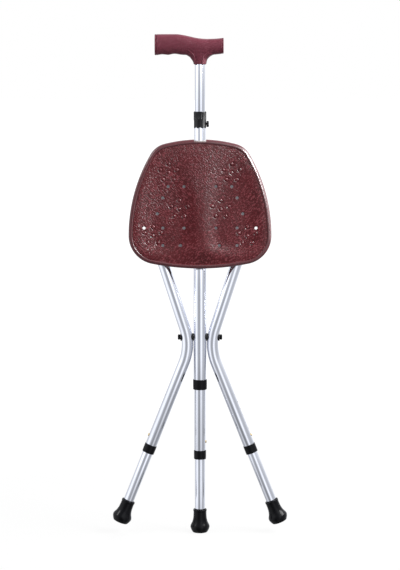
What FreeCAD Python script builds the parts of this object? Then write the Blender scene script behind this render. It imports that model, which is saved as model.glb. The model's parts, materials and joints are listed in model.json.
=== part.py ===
import FreeCAD, Part
import math
import os
import re
import Sketcher

# A three-legged walking stick that opens into a stool. It is drawn folded, standing on the tip of its
# centre leg. X runs across the two side legs, Y points away from the sitting face, Z is up.
# Lengths are in millimetres and angles in degrees.

Vector = FreeCAD.Vector

sizes = {
    # nested tubes: sleeve over column over handle tube and foot tubes
    "sleeve_diameter": 22.2,
    "sleeve_wall": 1.1,
    "column_wall": 1.0,
    "foot_tube_wall": 1.2,
    "handle_tube_wall": 1.2,
    "tube_clearance": 0.08,
    "push_fit": 0.03,
    "touch_gap": 0.3,
    # centre leg
    "foot_exposed": 88.0,
    "foot_inserted": 92.0,
    "column_above_hinge": 52.0,
    "sleeve_below_pivot": 88.6,
    # rubber tips
    "tip_length": 40.2,
    "tip_neck_radius": 11.3,
    "tip_bell_radius": 16.7,
    "tip_bell_height": 9.4,
    "tip_sole_radius": 12.6,
    "tip_sole_thickness": 9.0,
    "tip_edge": 0.9,
    "tip_flare_height": 24.4,
    "tip_bead_length": 2.6,
    "tip_bead_stand": 0.4,
    "tip_washer_thickness": 1.5,
    # black end collars
    "collar_lip": 2.0,
    "collar_round": 1.2,
    "sleeve_collar_radius": 12.1,
    "sleeve_collar_length": 17.3,
    "end_collar_radius": 10.6,
    "end_collar_length": 15.3,
    # handle clamp at the top of the column
    "ring_radius": 10.95,
    "ring_length": 14.3,
    "ring_ribs": 20,
    "ring_rib_depth": 0.45,
    "ring_groove_radius": 0.8,
    "band_radius": 10.6,
    "band_length": 14.1,
    "band_scallops": 8,
    "band_scallop_radius": 2.4,
    "lock_stud_radius": 2.0,
    "lock_head_radius": 5.6,
    "lock_head_length": 4.4,
    "lock_bevel": 0.9,
    "lock_flutes": 8,
    "lock_flute_radius": 1.1,
    "lock_flute_depth": 0.5,
    # handle
    "handle_tube_inserted": 150.0,
    "handle_exposed": 81.7,
    "handle_socket_depth": 30.0,
    "stem_radius": 10.8,
    "stem_flare_height": 16.0,
    "stem_flare": 15.5,
    "stem_swell": 0.8,
    "grip_left": 76.9,
    "grip_right": 40.1,
    "grip_rise": 51.2,
    "grip_dip": 8.0,
    "grip_dip_start": 45.0,
    "grip_dip_run": 55.0,
    "grip_underside": 16.1,
    "grip_half_width": 12.5,
    "grip_heel_taper": 0.8,
    "grip_heel_run": 23.4,
    "grip_nose_start": 12.0,
    "grip_nose_lift": 1.8,
    "grip_nose_taper": 2.0,
    "groove_depth": 1.5,
    "finger_pitch": 21.0,
    "grip_crest": 31.5,
    "grip_end_round": 1.5,
    "grip_screw_radius": 1.5,
    "grip_screw_height": 10.0,
    "grip_screw_head": 1.4,
    # scissor pivot and side legs
    "pivot_height": 340.0,
    "link_length": 166.5,
    "open_angle": 58.0,
    "leg_gap": 0.6,
    "leg_splay": 21.75,
    "leg_lean": 18.1,
    "leg_bend_radius": 90.0,
    "leg_lower_length": 197.5,
    "elbow_below_pivot": 15.6,
    "leg_foot_exposed": 90.0,
    "leg_foot_inserted": 70.0,
    "leg_top_margin": 9.0,
    "leg_cap_thickness": 2.5,
    "leg_cap_round": 1.1,
    "pivot_bolt_radius": 3.0,
    "pivot_head_radius": 4.6,
    "pivot_head_length": 4.4,
    "pivot_cap_wall": 1.6,
    "pivot_cap_bevel": 0.9,
    "saddle_radius": 6.5,
    "saddle_web": 0.55,
    "saddle_wall": 0.3,
    "saddle_rim": 1.5,
    "saddle_depth": 3.2,
    "pin_clearance": 0.06,
    "face_gap": 0.1,
    # height adjusters
    "button_above_end": 27.8,
    "button_radius": 2.5,
    "button_stand": 1.3,
    "button_round": 0.8,
    "button_flange": 0.75,
    "button_flange_thickness": 0.5,
    "button_hole_clearance": 0.15,
    "adjust_pitch": 12.5,
    "adjust_holes": 7,
    "spring_thickness": 0.6,
    "spring_width": 6.0,
    "spring_pad": 4.0,
    "spring_nose": 0.5,
    "spring_arm": 20.0,
    # slider on the column
    "slider_clearance": 0.3,
    "slider_wall": 3.1,
    "slider_above": 5.0,
    "slider_below": 33.0,
    "slider_rim": 1.7,
    "slider_rim_length": 4.0,
    "hinge_pin_radius": 2.5,
    "pin_head_flare": 1.6,
    "pin_head_length": 1.8,
    "pin_bevel": 0.6,
    "pin_tail": 1.0,
    # seat shell
    "seat_rise": 7.2,
    "seat_under": 23.0,
    "seat_plate": 5.5,
    "seat_back": 12.0,
    "seat_wall": 3.2,
    "seat_edge_round": 4.6,
    "top_radius": 245.0,
    "top_turn": 14.3,
    "shoulder_radius": 37.9,
    "shoulder_turn": 59.7,
    "side_radius": 274.0,
    "hip_radius": 48.8,
    "hip_turn": 168.6,
    "dish_offset": 51.0,
    "dish_drop": 153.2,
    "dish_half_width": 43.0,
    "dish_half_length": 62.0,
    "dish_depth": 3.2,
    "vent_radius": 2.75,
    "vent_inner": 27.0,
    "vent_next": 33.0,
    "vent_upper": 54.0,
    "vent_outer": 63.0,
    "vent_wide": 72.5,
    "vent_edge": 95.0,
    "vent_drop_1": 79.6,
    "vent_drop_2": 98.9,
    "vent_drop_3": 126.0,
    "vent_drop_4": 150.2,
    "vent_drop_5": 180.0,
    "notch_clearance": 0.4,
    "notch_drop": 2.4,
    "rib_thickness": 2.5,
    "rib_depth": 8.0,
    "lower_rib_spot": 16.0,
    "outer_rib_spot": 46.0,
    "upper_rib_spot": 26.0,
    "ear_radius": 5.5,
    "ear_thickness": 4.0,
    # metal under the seat
    "plate_thickness": 1.5,
    "plate_height": 120.0,
    "plate_low_half": 54.0,
    "plate_high_half": 80.0,
    "plate_chamfer": 13.0,
    "plate_screw_spot": 16.2,
    "plate_screw_low": 14.0,
    "plate_screw_high": 24.0,
    "bracket_thickness": 2.0,
    "bracket_half_length": 16.0,
    "bracket_screw_inset": 4.5,
    "bracket_span": 15.6,
    "bracket_ear_radius": 8.0,
    "leg_pin_radius": 3.0,
    "spacer_radius": 5.0,
    "screw_grip": 2.4,
    "screw_radius": 1.8,
    "screw_head_radius": 3.6,
    "screw_head_height": 2.0,
}

doc = FreeCAD.newDocument("walking_stick_seat")
sheet = doc.addObject("Spreadsheet::Sheet", "Sizes")
for row, (name, size) in enumerate(sizes.items(), start=1):
    sheet.set(f"A{row}", name)
    sheet.set(f"B{row}", str(size))
    sheet.setAlias(f"B{row}", name)
doc.recompute()


def linked(text):
    """The same expression with each size read from the sheet."""
    return re.sub(r"[a-z]\w*", lambda m: "Sizes." + m[0] if m[0] in sizes else m[0], text)


def number(text):
    """The present value of an expression of sizes."""
    return float(sheet.evalExpression(linked(text)))


# Sizes that follow from others, as expressions.
SLEEVE_OUT = "(sleeve_diameter / 2)"
SLEEVE_IN = f"({SLEEVE_OUT} - sleeve_wall)"
COLUMN_OUT = f"({SLEEVE_IN} - tube_clearance)"
COLUMN_IN = f"({COLUMN_OUT} - column_wall)"
INNER_OUT = f"({COLUMN_IN} - tube_clearance)"
FOOT_IN = f"({INNER_OUT} - foot_tube_wall)"
HANDLE_IN = f"({INNER_OUT} - handle_tube_wall)"
COLUMN_BOTTOM = "(tip_length + foot_exposed + collar_lip)"
HINGE_HEIGHT = "(pivot_height + 2 * link_length)"
TOP_PIN_HEIGHT = "(pivot_height + link_length)"
SEAT_TOP = f"({HINGE_HEIGHT} + seat_rise)"
COLUMN_TOP = f"({HINGE_HEIGHT} + column_above_hinge)"
SLEEVE_BOTTOM = "(pivot_height - sleeve_below_pivot)"
SLIDER_STOP = f"({HINGE_HEIGHT} - 2 * link_length * (1 - cos(open_angle)) - slider_below - touch_gap)"
SLEEVE_TOP = f"({SLIDER_STOP} - collar_lip)"
SLIDER_IN = f"({COLUMN_OUT} + slider_clearance)"
SLIDER_OUT = f"({SLIDER_IN} + slider_wall)"
BEND = "(leg_splay + leg_lean)"
BEND_RUN = f"(leg_bend_radius * tan({BEND} / 2))"
BISECT = "((leg_splay - leg_lean) / 2)"
BEND_REACH = f"(leg_bend_radius / cos({BEND} / 2))"
LEG_NEAR = f"({SLEEVE_OUT} + leg_gap + {COLUMN_OUT})"
ELBOW_X = f"({LEG_NEAR} + leg_bend_radius - {BEND_REACH} * cos({BISECT}))"
ELBOW_Z = "(pivot_height - elbow_below_pivot)"
TOP_PIN_X = f"({ELBOW_X} + ({TOP_PIN_HEIGHT} - {ELBOW_Z}) * tan(leg_lean))"
UPPER_LENGTH = f"(({TOP_PIN_HEIGHT} - {ELBOW_Z}) / cos(leg_lean) + leg_top_margin)"
BEND_X = f"({ELBOW_X} + {BEND_REACH} * cos({BISECT}))"
BEND_Z = f"({ELBOW_Z} + {BEND_REACH} * sin({BISECT}))"
# the outer side of the leg, at the upper edge of the full ring round the pivot bolt
RING_ABOVE_BEND = f"(pivot_height + pivot_bolt_radius + saddle_rim - {BEND_Z})"
LEG_FACE = f"({BEND_X} - sqrt((leg_bend_radius - {COLUMN_OUT}) ^ 2 - {RING_ABOVE_BEND} ^ 2))"
SADDLE_FACE = f"({SLEEVE_OUT} + saddle_web)"
SEAT_FRONT = "(seat_under + seat_plate)"
BUTTON_FLANGE = "(button_radius + button_flange)"
FLANGE_END = f"(sqrt({FOOT_IN} ^ 2 - {BUTTON_FLANGE} ^ 2) - touch_gap)"
BUTTON_SEAT = f"({FLANGE_END} - button_flange_thickness)"
BUTTON_TIP = f"({COLUMN_OUT} + button_stand)"
RING_BOTTOM = f"({COLUMN_TOP} + collar_lip - ring_length)"
LOCK_HEIGHT = f"({RING_BOTTOM} - band_length / 2)"
STEM_BOTTOM = f"({COLUMN_TOP} + handle_exposed)"
GRIP_TOP = f"({STEM_BOTTOM} + grip_rise)"
GRIP_BOTTOM = f"({STEM_BOTTOM} + grip_underside)"
# How far joined shapes run into each other, and how far a cut runs past the face that it opens.
BOND = "0.5"
PAST = "1"

nodes = []


def bind(thing, prop, text):
    thing.setExpression(prop, linked(text))


def new_body(label):
    body = doc.addObject("PartDesign::Body", label)
    body.Label = label
    nodes.append(body)
    return body


def new_sketch(body, role, base=("0", "0", "0"), turn=None, axis=Vector(1, 0, 0)):
    """A sketch on one of the body's own planes, moved and turned about an axis in that plane's frame."""
    plane = next(p for p in body.Origin.OriginFeatures if p.Role == role)
    sketch = body.newObject("Sketcher::SketchObject", "sketch")
    sketch.AttachmentSupport = [(plane, "")]
    sketch.MapMode = "FlatFace"
    angle = number(turn) if turn else 0.0
    shift = Vector(*[number(b) for b in base])
    sketch.AttachmentOffset = FreeCAD.Placement(shift, FreeCAD.Rotation(axis, angle))
    for side, text in zip("xyz", base):
        if text != "0":
            bind(sketch, f"AttachmentOffset.Base.{side}", text)
    if turn:
        bind(sketch, "AttachmentOffset.Rotation.Angle", f"{turn} * 1 deg")
    return sketch


def hold_point(sketch, geometry, end, x, y):
    """Ties one end of a line to its place by two dimensions from the origin."""
    for kind, text, other in (("DistanceX", x, -2), ("DistanceY", y, -1)):
        if text == "0":
            sketch.addConstraint(Sketcher.Constraint("PointOnObject", geometry, end, other))
        else:
            at = sketch.addConstraint(Sketcher.Constraint(kind, -1, 1, geometry, end, number(text)))
            bind(sketch, f"Constraints[{at}]", text)


def add_polygon(sketch, points):
    """A closed outline of straight sides through points given as pairs of expressions."""
    spots = [Vector(number(x), number(y), 0) for x, y in points]
    first = len(sketch.Geometry)
    count = len(points)
    for i in range(count):
        sketch.addGeometry(Part.LineSegment(spots[i], spots[(i + 1) % count]), False)
    for i in range(count):
        nearby = first + (i + 1) % count
        sketch.addConstraint(Sketcher.Constraint("Coincident", first + i, 2, nearby, 1))
    for i, (x, y) in enumerate(points):
        hold_point(sketch, first + i, 1, x, y)


def add_circle(sketch, x, y, radius):
    spot = Vector(number(x), number(y), 0)
    at = sketch.addGeometry(Part.Circle(spot, Vector(0, 0, 1), number(radius)), False)
    hold_point(sketch, at, 3, x, y)
    name = sketch.addConstraint(Sketcher.Constraint("Radius", at, number(radius)))
    bind(sketch, f"Constraints[{name}]", radius)


def rectangle(x0, x1, y0, y1):
    return [(x0, y0), (x1, y0), (x1, y1), (x0, y1)]


def revolve(body, sketch, axis="V_Axis"):
    feature = body.newObject("PartDesign::Revolution", "revolution")
    feature.Profile = sketch
    feature.ReferenceAxis = (sketch, [axis])
    feature.Angle = 360
    doc.recompute()
    return feature


def pad(body, sketch, length, backwards=False, both=False):
    feature = body.newObject("PartDesign::Pad", "pad")
    feature.Profile = sketch
    bind(feature, "Length", length)
    feature.Reversed = backwards
    feature.Midplane = both
    doc.recompute()
    return feature


def pocket(body, sketch, length, backwards=False, both=False):
    """Cuts a profile out of the body. The cut has to take some material away."""
    before = body.Shape.Volume
    feature = body.newObject("PartDesign::Pocket", "pocket")
    feature.Profile = sketch
    bind(feature, "Length", length)
    feature.Reversed = backwards
    feature.Midplane = both
    doc.recompute()
    assert body.Shape.Volume < before - 0.01, f"{body.Label}: a pocket cuts nothing"
    return feature


def around(body, feature, copies):
    """Repeats a cut evenly round the body's Z axis."""
    pattern = body.newObject("PartDesign::PolarPattern", "pattern")
    pattern.Originals = [feature]
    pattern.Axis = (next(p for p in body.Origin.OriginFeatures if p.Role == "Z_Axis"), [""])
    pattern.Angle = 360
    bind(pattern, "Occurrences", copies)
    body.Tip = pattern
    doc.recompute()
    return pattern


def fillet(body, radius, chosen):
    """Rounds the edges of the body's present shape for which chosen(edge) is true."""
    base = body.Tip
    names = [f"Edge{i + 1}" for i, edge in enumerate(base.Shape.Edges) if chosen(edge)]
    assert names, f"{body.Label}: no edge to round"
    feature = body.newObject("PartDesign::Fillet", "fillet")
    feature.Base = (base, names)
    bind(feature, "Radius", radius)
    doc.recompute()
    return feature


def turned(label, points):
    """A body of revolution about Z from an outline of radius and height."""
    body = new_body(label)
    sketch = new_sketch(body, "XZ_Plane")
    add_polygon(sketch, points)
    revolve(body, sketch)
    return body


def tube(label, inside, outside, low, high):
    return turned(label, rectangle(inside, outside, low, high))


def lay_across(thing, height, side=1):
    """Turns a piece drawn about Z to lie along X at a height, pointing to one side."""
    turn = FreeCAD.Rotation(Vector(0, 1, 0), 90 * side)
    thing.Placement = FreeCAD.Placement(Vector(0, 0, number(height)), turn)
    bind(thing, "Placement.Base.z", height)


def lean_with_leg(thing, side):
    """Puts a piece drawn about Z, with the elbow as its origin, on the lower run of a side leg."""
    spot = Vector(side * number(ELBOW_X), 0, number(ELBOW_Z))
    thing.Placement = FreeCAD.Placement(spot, FreeCAD.Rotation(Vector(0, -side, 0), number("leg_splay")))
    bind(thing, "Placement.Base.x", f"{side} * {ELBOW_X}")
    bind(thing, "Placement.Base.z", ELBOW_Z)
    bind(thing, "Placement.Rotation.Angle", "leg_splay * 1 deg")


# Centre leg: column, reinforcing sleeve and the collars on their ends.

def adjuster_holes(body, sketch, low, reverse):
    """A row of button holes that starts at a height and climbs."""
    for i in range(int(number("adjust_holes"))):
        add_circle(sketch, "0", f"{low} + {i} * adjust_pitch", "button_radius + button_hole_clearance")
    pocket(body, sketch, f"{COLUMN_OUT} + {PAST}", backwards=reverse)


def collar(label, tube_radius, inner_radius, outer_radius, length, end, upward=False):
    """A push-on end collar: a socket over the tube and a lip round the tube that slides inside it."""
    sign, back = ("+", "-") if upward else ("-", "+")
    socket = f"({tube_radius} + push_fit)"
    lip = f"({inner_radius} + touch_gap)"
    mouth = f"({end} {sign} collar_lip)"
    rim = f"({mouth} {back} {length})"
    return turned(label, [
        (lip, mouth), (f"{outer_radius} - collar_round", mouth),
        (f"{outer_radius} - 0.3 * collar_round", f"{mouth} {back} 0.3 * collar_round"),
        (outer_radius, f"{mouth} {back} collar_round"), (outer_radius, rim),
        (socket, rim), (socket, end), (lip, end)])


column_tube = tube("column_tube", COLUMN_IN, COLUMN_OUT, COLUMN_BOTTOM, COLUMN_TOP)
adjuster_holes(column_tube, new_sketch(column_tube, "YZ_Plane"), f"{COLUMN_BOTTOM} + button_above_end", True)
cross = new_sketch(column_tube, "YZ_Plane")
add_circle(cross, "0", "pivot_height", "pivot_bolt_radius + pin_clearance")
pocket(column_tube, cross, "sleeve_diameter * 2", both=True)
stud_hole = new_sketch(column_tube, "YZ_Plane")
add_circle(stud_hole, "0", LOCK_HEIGHT, "lock_stud_radius + pin_clearance")
pocket(column_tube, stud_hole, f"{COLUMN_OUT} + {PAST}", backwards=True)

column_sleeve = tube("column_sleeve", SLEEVE_IN, SLEEVE_OUT, SLEEVE_BOTTOM, SLEEVE_TOP)
cross = new_sketch(column_sleeve, "YZ_Plane")
add_circle(cross, "0", "pivot_height", "pivot_bolt_radius + pin_clearance")
pocket(column_sleeve, cross, "sleeve_diameter * 2", both=True)

collar("column_end_collar", COLUMN_OUT, INNER_OUT, "end_collar_radius", "end_collar_length", COLUMN_BOTTOM)
for label, end in (("sleeve_bottom_collar", SLEEVE_BOTTOM), ("sleeve_top_collar", SLEEVE_TOP)):
    collar(label, SLEEVE_OUT, COLUMN_OUT, "sleeve_collar_radius", "sleeve_collar_length", end,
           upward=end == SLEEVE_TOP)


# Handle clamp: a ribbed ring on the column's mouth, a scalloped band below it and a lock knob.

clamp_ring = collar(
    "clamp_ring", COLUMN_OUT, INNER_OUT, "ring_radius", "ring_length", COLUMN_TOP, upward=True)
groove = new_sketch(clamp_ring, "XY_Plane", base=("0", "0", RING_BOTTOM))
add_circle(groove, "ring_radius + ring_groove_radius - ring_rib_depth", "0", "ring_groove_radius")
around(clamp_ring, pocket(clamp_ring, groove, "ring_length - 2 * collar_round", backwards=True), "ring_ribs")

BAND_BOTTOM = f"({RING_BOTTOM} - band_length)"
clamp_band = tube("clamp_band", f"{COLUMN_OUT} + push_fit", "band_radius", BAND_BOTTOM, RING_BOTTOM)
scallop = new_sketch(clamp_band, "YZ_Plane")
add_circle(scallop, "0", BAND_BOTTOM, "band_scallop_radius")
around(clamp_band, pocket(clamp_band, scallop, f"band_radius + {PAST}", backwards=True), "band_scallops")
stud_hole = new_sketch(clamp_band, "YZ_Plane")
add_circle(stud_hole, "0", LOCK_HEIGHT, "lock_stud_radius + pin_clearance")
pocket(clamp_band, stud_hole, f"band_radius + {PAST}", backwards=True)

lock_knob = new_body("lock_knob")
outline = new_sketch(lock_knob, "XZ_Plane")
STUD_TIP = f"({INNER_OUT} + pin_clearance)"
HEAD_START = "(band_radius + touch_gap)"
HEAD_END = f"({HEAD_START} + lock_head_length)"
add_polygon(outline, [
    ("0", STUD_TIP), ("lock_stud_radius", STUD_TIP), ("lock_stud_radius", HEAD_START),
    ("lock_head_radius - lock_bevel", HEAD_START), ("lock_head_radius", f"{HEAD_START} + lock_bevel"),
    ("lock_head_radius", f"{HEAD_END} - lock_bevel"), ("lock_head_radius - lock_bevel", HEAD_END),
    ("0", HEAD_END)])
revolve(lock_knob, outline)
flute = new_sketch(lock_knob, "XY_Plane", base=("0", "0", HEAD_START))
add_circle(flute, "lock_head_radius + lock_flute_radius - lock_flute_depth", "0", "lock_flute_radius")
around(lock_knob, pocket(lock_knob, flute, f"lock_head_length + {PAST}", backwards=True), "lock_flutes")
lay_across(lock_knob, LOCK_HEIGHT)


# Handle: a tube that slides in the column and a grip with two finger hollows lofted through ellipses.

HANDLE_TUBE_BOTTOM = f"({COLUMN_TOP} - handle_tube_inserted)"
HANDLE_TUBE_TOP = f"({STEM_BOTTOM} + handle_socket_depth)"
tube("handle_tube", HANDLE_IN, INNER_OUT, HANDLE_TUBE_BOTTOM, HANDLE_TUBE_TOP)


def ellipse_section(name, long_radius, short_radius, base, rotation):
    section = doc.addObject("Part::Ellipse", name)
    section.MajorRadius = number(long_radius)
    section.MinorRadius = number(short_radius)
    section.Placement = FreeCAD.Placement(Vector(*[number(b) for b in base]), rotation)
    bind(section, "MajorRadius", long_radius)
    bind(section, "MinorRadius", short_radius)
    for side, text in zip("xyz", base):
        if text != "0":
            bind(section, f"Placement.Base.{side}", text)
    return section


def loft(name, sections, ruled=False):
    feature = doc.addObject("Part::Loft", name)
    feature.Sections = sections
    feature.Solid = True
    feature.Ruled = ruled
    feature.MaxDegree = 3
    return feature


def grip_section(share, shrink="0"):
    """One ellipse across the grip. The top falls to a saddle over the stem, the underside has hollows."""
    along = number("grip_left + grip_right") * share - number("grip_left")
    slope = min(max((along + number("grip_dip_start")) / number("grip_dip_run"), 0), 1)
    fall = slope * slope * (3 - 2 * slope)
    nose = max(along - number("grip_nose_start"), 0) / number("grip_right - grip_nose_start")
    heel = max(1 - (along + number("grip_left")) / number("grip_heel_run"), 0)
    waves = (along + number("grip_crest")) / number("finger_pitch")
    hollow = (1 - math.cos(2 * math.pi * waves)) / 2 if waves < 0 else 0
    x = f"((grip_left + grip_right - 2 * grip_end_round) * {share} - grip_left + grip_end_round)"
    if shrink != "0":
        x = f"({x} {'-' if share < 0.5 else '+'} {shrink})"
    top = f"({GRIP_TOP} - grip_dip * {fall} + grip_nose_lift * {nose * nose})"
    low = f"({GRIP_BOTTOM} + groove_depth * {hollow} + grip_nose_lift * {nose})"
    wide = f"grip_half_width - grip_heel_taper * {heel} - grip_nose_taper * {nose} - {shrink}"
    middle = (x, "0", f"({top} + {low}) / 2")
    upright = FreeCAD.Rotation(Vector(0, 1, 0), -90)
    return ellipse_section("barrel_section", f"({top} - {low}) / 2 - {shrink}", wide, middle, upright)


BARREL_STEPS = 16
barrel = loft("grip_barrel", [grip_section(i / BARREL_STEPS) for i in range(BARREL_STEPS + 1)])
grip_ends = [loft("grip_end", [grip_section(share), grip_section(share, "grip_end_round")], ruled=True)
             for share in (0, 1)]

# Each row of the stem is a share of its flare's height and the share of the flare reached there.
stem_rows = [(0, 0), (0.27, 0.08), (0.62, 0.3), (0.84, 0.58), (1, 1), (1.3, 1.22)]
stem = loft("grip_stem", [
    ellipse_section(f"stem_{i}", f"stem_radius + stem_flare * {flare} + 0.01",
                    f"stem_radius + stem_swell * sin(180 * {min(height, 1) * 0.6})",
                    ("0", "0", f"{STEM_BOTTOM} + stem_flare_height * {height}"), FreeCAD.Rotation())
    for i, (height, flare) in enumerate(stem_rows)])
grip_body = doc.addObject("Part::MultiFuse", "grip_body")
grip_body.Shapes = [barrel, stem, *grip_ends]
socket = doc.addObject("Part::Cylinder", "grip_socket")
bind(socket, "Radius", f"{INNER_OUT} + push_fit")
bind(socket, "Height", f"handle_socket_depth + {PAST}")
bind(socket, "Placement.Base.z", f"{STEM_BOTTOM} - {PAST}")
screw_hole = doc.addObject("Part::Cylinder", "grip_screw_hole")
screw_hole.Placement = FreeCAD.Placement(Vector(), FreeCAD.Rotation(Vector(1, 0, 0), -90))
bind(screw_hole, "Radius", "grip_screw_radius")
bind(screw_hole, "Height", "stem_radius * 2")
bind(screw_hole, "Placement.Base.z", f"{STEM_BOTTOM} + grip_screw_height")
hollows = doc.addObject("Part::Fuse", "grip_hollows")
hollows.Base = socket
hollows.Tool = screw_hole
handle_grip = doc.addObject("Part::Cut", "handle_grip")
handle_grip.Label = "handle_grip"
handle_grip.Base = grip_body
handle_grip.Tool = hollows
nodes.append(handle_grip)

GRIP_SKIN = "(stem_radius + stem_swell)"
grip_screw = turned("grip_screw", [
    ("0", f"{INNER_OUT} + push_fit"), ("grip_screw_radius", f"{INNER_OUT} + push_fit"),
    ("grip_screw_radius", GRIP_SKIN), ("2 * grip_screw_radius", GRIP_SKIN),
    ("grip_screw_radius", f"{GRIP_SKIN} + grip_screw_head"), ("0", f"{GRIP_SKIN} + grip_screw_head")])
grip_screw.Placement = FreeCAD.Placement(Vector(), FreeCAD.Rotation(Vector(1, 0, 0), -90))
bind(grip_screw, "Placement.Base.z", f"{STEM_BOTTOM} + grip_screw_height")


# Feet: a foot tube with a rubber tip, and a brass button on a bent strip spring.

def foot(prefix, side, end, exposed, inserted, put):
    """The telescoping foot below a tube end. side is +1 or -1, the side that the button faces."""
    low = f"({end} - collar_lip - {exposed} - tip_length)"
    floor = f"({low} + tip_sole_thickness)"
    tube_low = f"({floor} + tip_washer_thickness)"
    tube_high = f"({end} + {inserted})"
    button = f"({end} + button_above_end)"

    foot_tube = tube(f"{prefix}_foot_tube", FOOT_IN, INNER_OUT, tube_low, tube_high)
    hole = new_sketch(foot_tube, "YZ_Plane")
    add_circle(hole, "0", button, "button_radius + button_hole_clearance")
    pocket(foot_tube, hole, f"{INNER_OUT} + {PAST}", backwards=side > 0)
    put(foot_tube)

    bore = f"({INNER_OUT} + push_fit)"
    top = f"({low} + tip_length)"
    bead = f"({top} - tip_bead_length)"
    bell = f"({low} + tip_bell_height)"
    waist = f"({low} + tip_flare_height)"
    tip = turned(f"{prefix}_tip", [
        ("0", low), ("tip_sole_radius - tip_edge", low), ("tip_sole_radius", f"{low} + tip_edge"),
        ("tip_bell_radius - tip_edge", f"{bell} - 4 * tip_edge"), ("tip_bell_radius", bell),
        ("tip_bell_radius - tip_edge", f"{bell} + 2 * tip_edge"),
        ("0.3 * tip_bell_radius + 0.7 * tip_neck_radius", f"0.55 * {bell} + 0.45 * {waist}"),
        ("tip_neck_radius", waist), ("tip_neck_radius", bead),
        ("tip_neck_radius + tip_bead_stand", f"{bead} + tip_bead_stand"),
        ("tip_neck_radius + tip_bead_stand", f"{top} - tip_bead_stand"), ("tip_neck_radius", top),
        (bore, top), (bore, floor), ("0", floor)])
    put(tip)

    put(turned(f"{prefix}_tip_washer", [
        ("0", floor), (INNER_OUT, floor), (INNER_OUT, tube_low), ("0", tube_low)]))

    near = f"{side} * {BUTTON_SEAT}"
    near_inside = f"{side} * ({BUTTON_SEAT} - spring_thickness)"
    wall = f"(sqrt({FOOT_IN} ^ 2 - (spring_width / 2) ^ 2) - push_fit)"
    far = f"-{side} * {wall}"
    far_inside = f"-{side} * ({wall} - spring_thickness)"
    heel = f"({button} - spring_pad)"
    knee = f"({button} + spring_pad)"
    bend = f"({knee} + spring_arm)"
    spring = new_body(f"{prefix}_snap_spring")
    strip = new_sketch(spring, "XZ_Plane")
    add_polygon(strip, [
        (near, heel), (near, knee), (f"{side} * spring_nose", bend), (f"-{side} * spring_nose", bend),
        (far, knee), (far, heel), (far_inside, heel), (far_inside, knee),
        ("0", f"{bend} - 2 * spring_thickness"), (near_inside, knee), (near_inside, heel)])
    pad(spring, strip, "spring_width", both=True)
    put(spring)

    knob = new_body(f"{prefix}_button")
    outline = new_sketch(knob, "XZ_Plane", base=("0", button, "0"))
    add_polygon(outline, [
        (near, "0"), (near, BUTTON_FLANGE), (f"{side} * {FLANGE_END}", BUTTON_FLANGE),
        (f"{side} * {FLANGE_END}", "button_radius"),
        (f"{side} * ({BUTTON_TIP} - button_round)", "button_radius"),
        (f"{side} * {BUTTON_TIP}", "button_radius - button_round"), (f"{side} * {BUTTON_TIP}", "0")])
    revolve(knob, outline, "H_Axis")
    put(knob)


foot("centre", 1, COLUMN_BOTTOM, "foot_exposed", "foot_inserted", lambda thing: None)


# Scissor pivot: one bolt through the column and both legs, with a black cap on each end.

OUTER_SADDLE_END = f"({LEG_FACE} + saddle_wall)"
CAP_START = f"({OUTER_SADDLE_END} + face_gap)"
CAP_END = f"({CAP_START} + pivot_head_length)"
BOLT_END = f"({CAP_END} - pivot_cap_wall)"
pivot_bolt = turned("pivot_bolt", rectangle("0", "pivot_bolt_radius", f"-{BOLT_END}", BOLT_END))
lay_across(pivot_bolt, "pivot_height")


def pivot_cap(label, side):
    hub = "(pivot_bolt_radius + push_fit)"
    neck = "pivot_head_radius - pivot_cap_bevel"
    cap = turned(label, [
        ("0", BOLT_END), (hub, BOLT_END), (hub, CAP_START), (neck, CAP_START),
        (neck, f"{CAP_START} + 0.5 * pivot_cap_bevel"),
        ("pivot_head_radius", f"{CAP_START} + 1.5 * pivot_cap_bevel"),
        ("pivot_head_radius", f"{CAP_END} - pivot_cap_bevel"), (neck, CAP_END), ("0", CAP_END)])
    lay_across(cap, "pivot_height", side)


# Side legs.

def spine_points(side):
    """The four corners of a leg's centre line: lower end, both ends of the bend, upper end."""
    x, z = ELBOW_X, ELBOW_Z
    return [
        (f"{side} * ({x} + leg_lower_length * sin(leg_splay))", f"{z} - leg_lower_length * cos(leg_splay)"),
        (f"{side} * ({x} + {BEND_RUN} * sin(leg_splay))", f"{z} - {BEND_RUN} * cos(leg_splay)"),
        (f"{side} * ({x} + {BEND_RUN} * sin(leg_lean))", f"{z} + {BEND_RUN} * cos(leg_lean)"),
        (f"{side} * ({x} + {UPPER_LENGTH} * sin(leg_lean))", f"{z} + {UPPER_LENGTH} * cos(leg_lean)"),
    ]


def spine(body, side):
    """The leg's centre line as a sketch: a run, a tangent bend and a run."""
    path = new_sketch(body, "XZ_Plane")
    corners = spine_points(side)
    low, bend_low, bend_high, high = [Vector(number(x), number(y), 0) for x, y in corners]
    middle = Vector(side * (number(BEND_X) - number("leg_bend_radius")), number(BEND_Z), 0)
    path.addGeometry(Part.LineSegment(low, bend_low), False)
    path.addGeometry(Part.Arc(bend_low, middle, bend_high), False)
    path.addGeometry(Part.LineSegment(bend_high, high), False)
    arc_low, arc_high = (2, 1) if side > 0 else (1, 2)
    path.addConstraint(Sketcher.Constraint("Coincident", 0, 2, 1, arc_low))
    path.addConstraint(Sketcher.Constraint("Coincident", 2, 1, 1, arc_high))
    for (geometry, end), (x, y) in zip(((0, 1), (0, 2), (2, 1), (2, 2)), corners):
        hold_point(path, geometry, end, x, y)
    at = path.addConstraint(Sketcher.Constraint("Radius", 1, number("leg_bend_radius")))
    bind(path, f"Constraints[{at}]", "leg_bend_radius")
    return path


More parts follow.
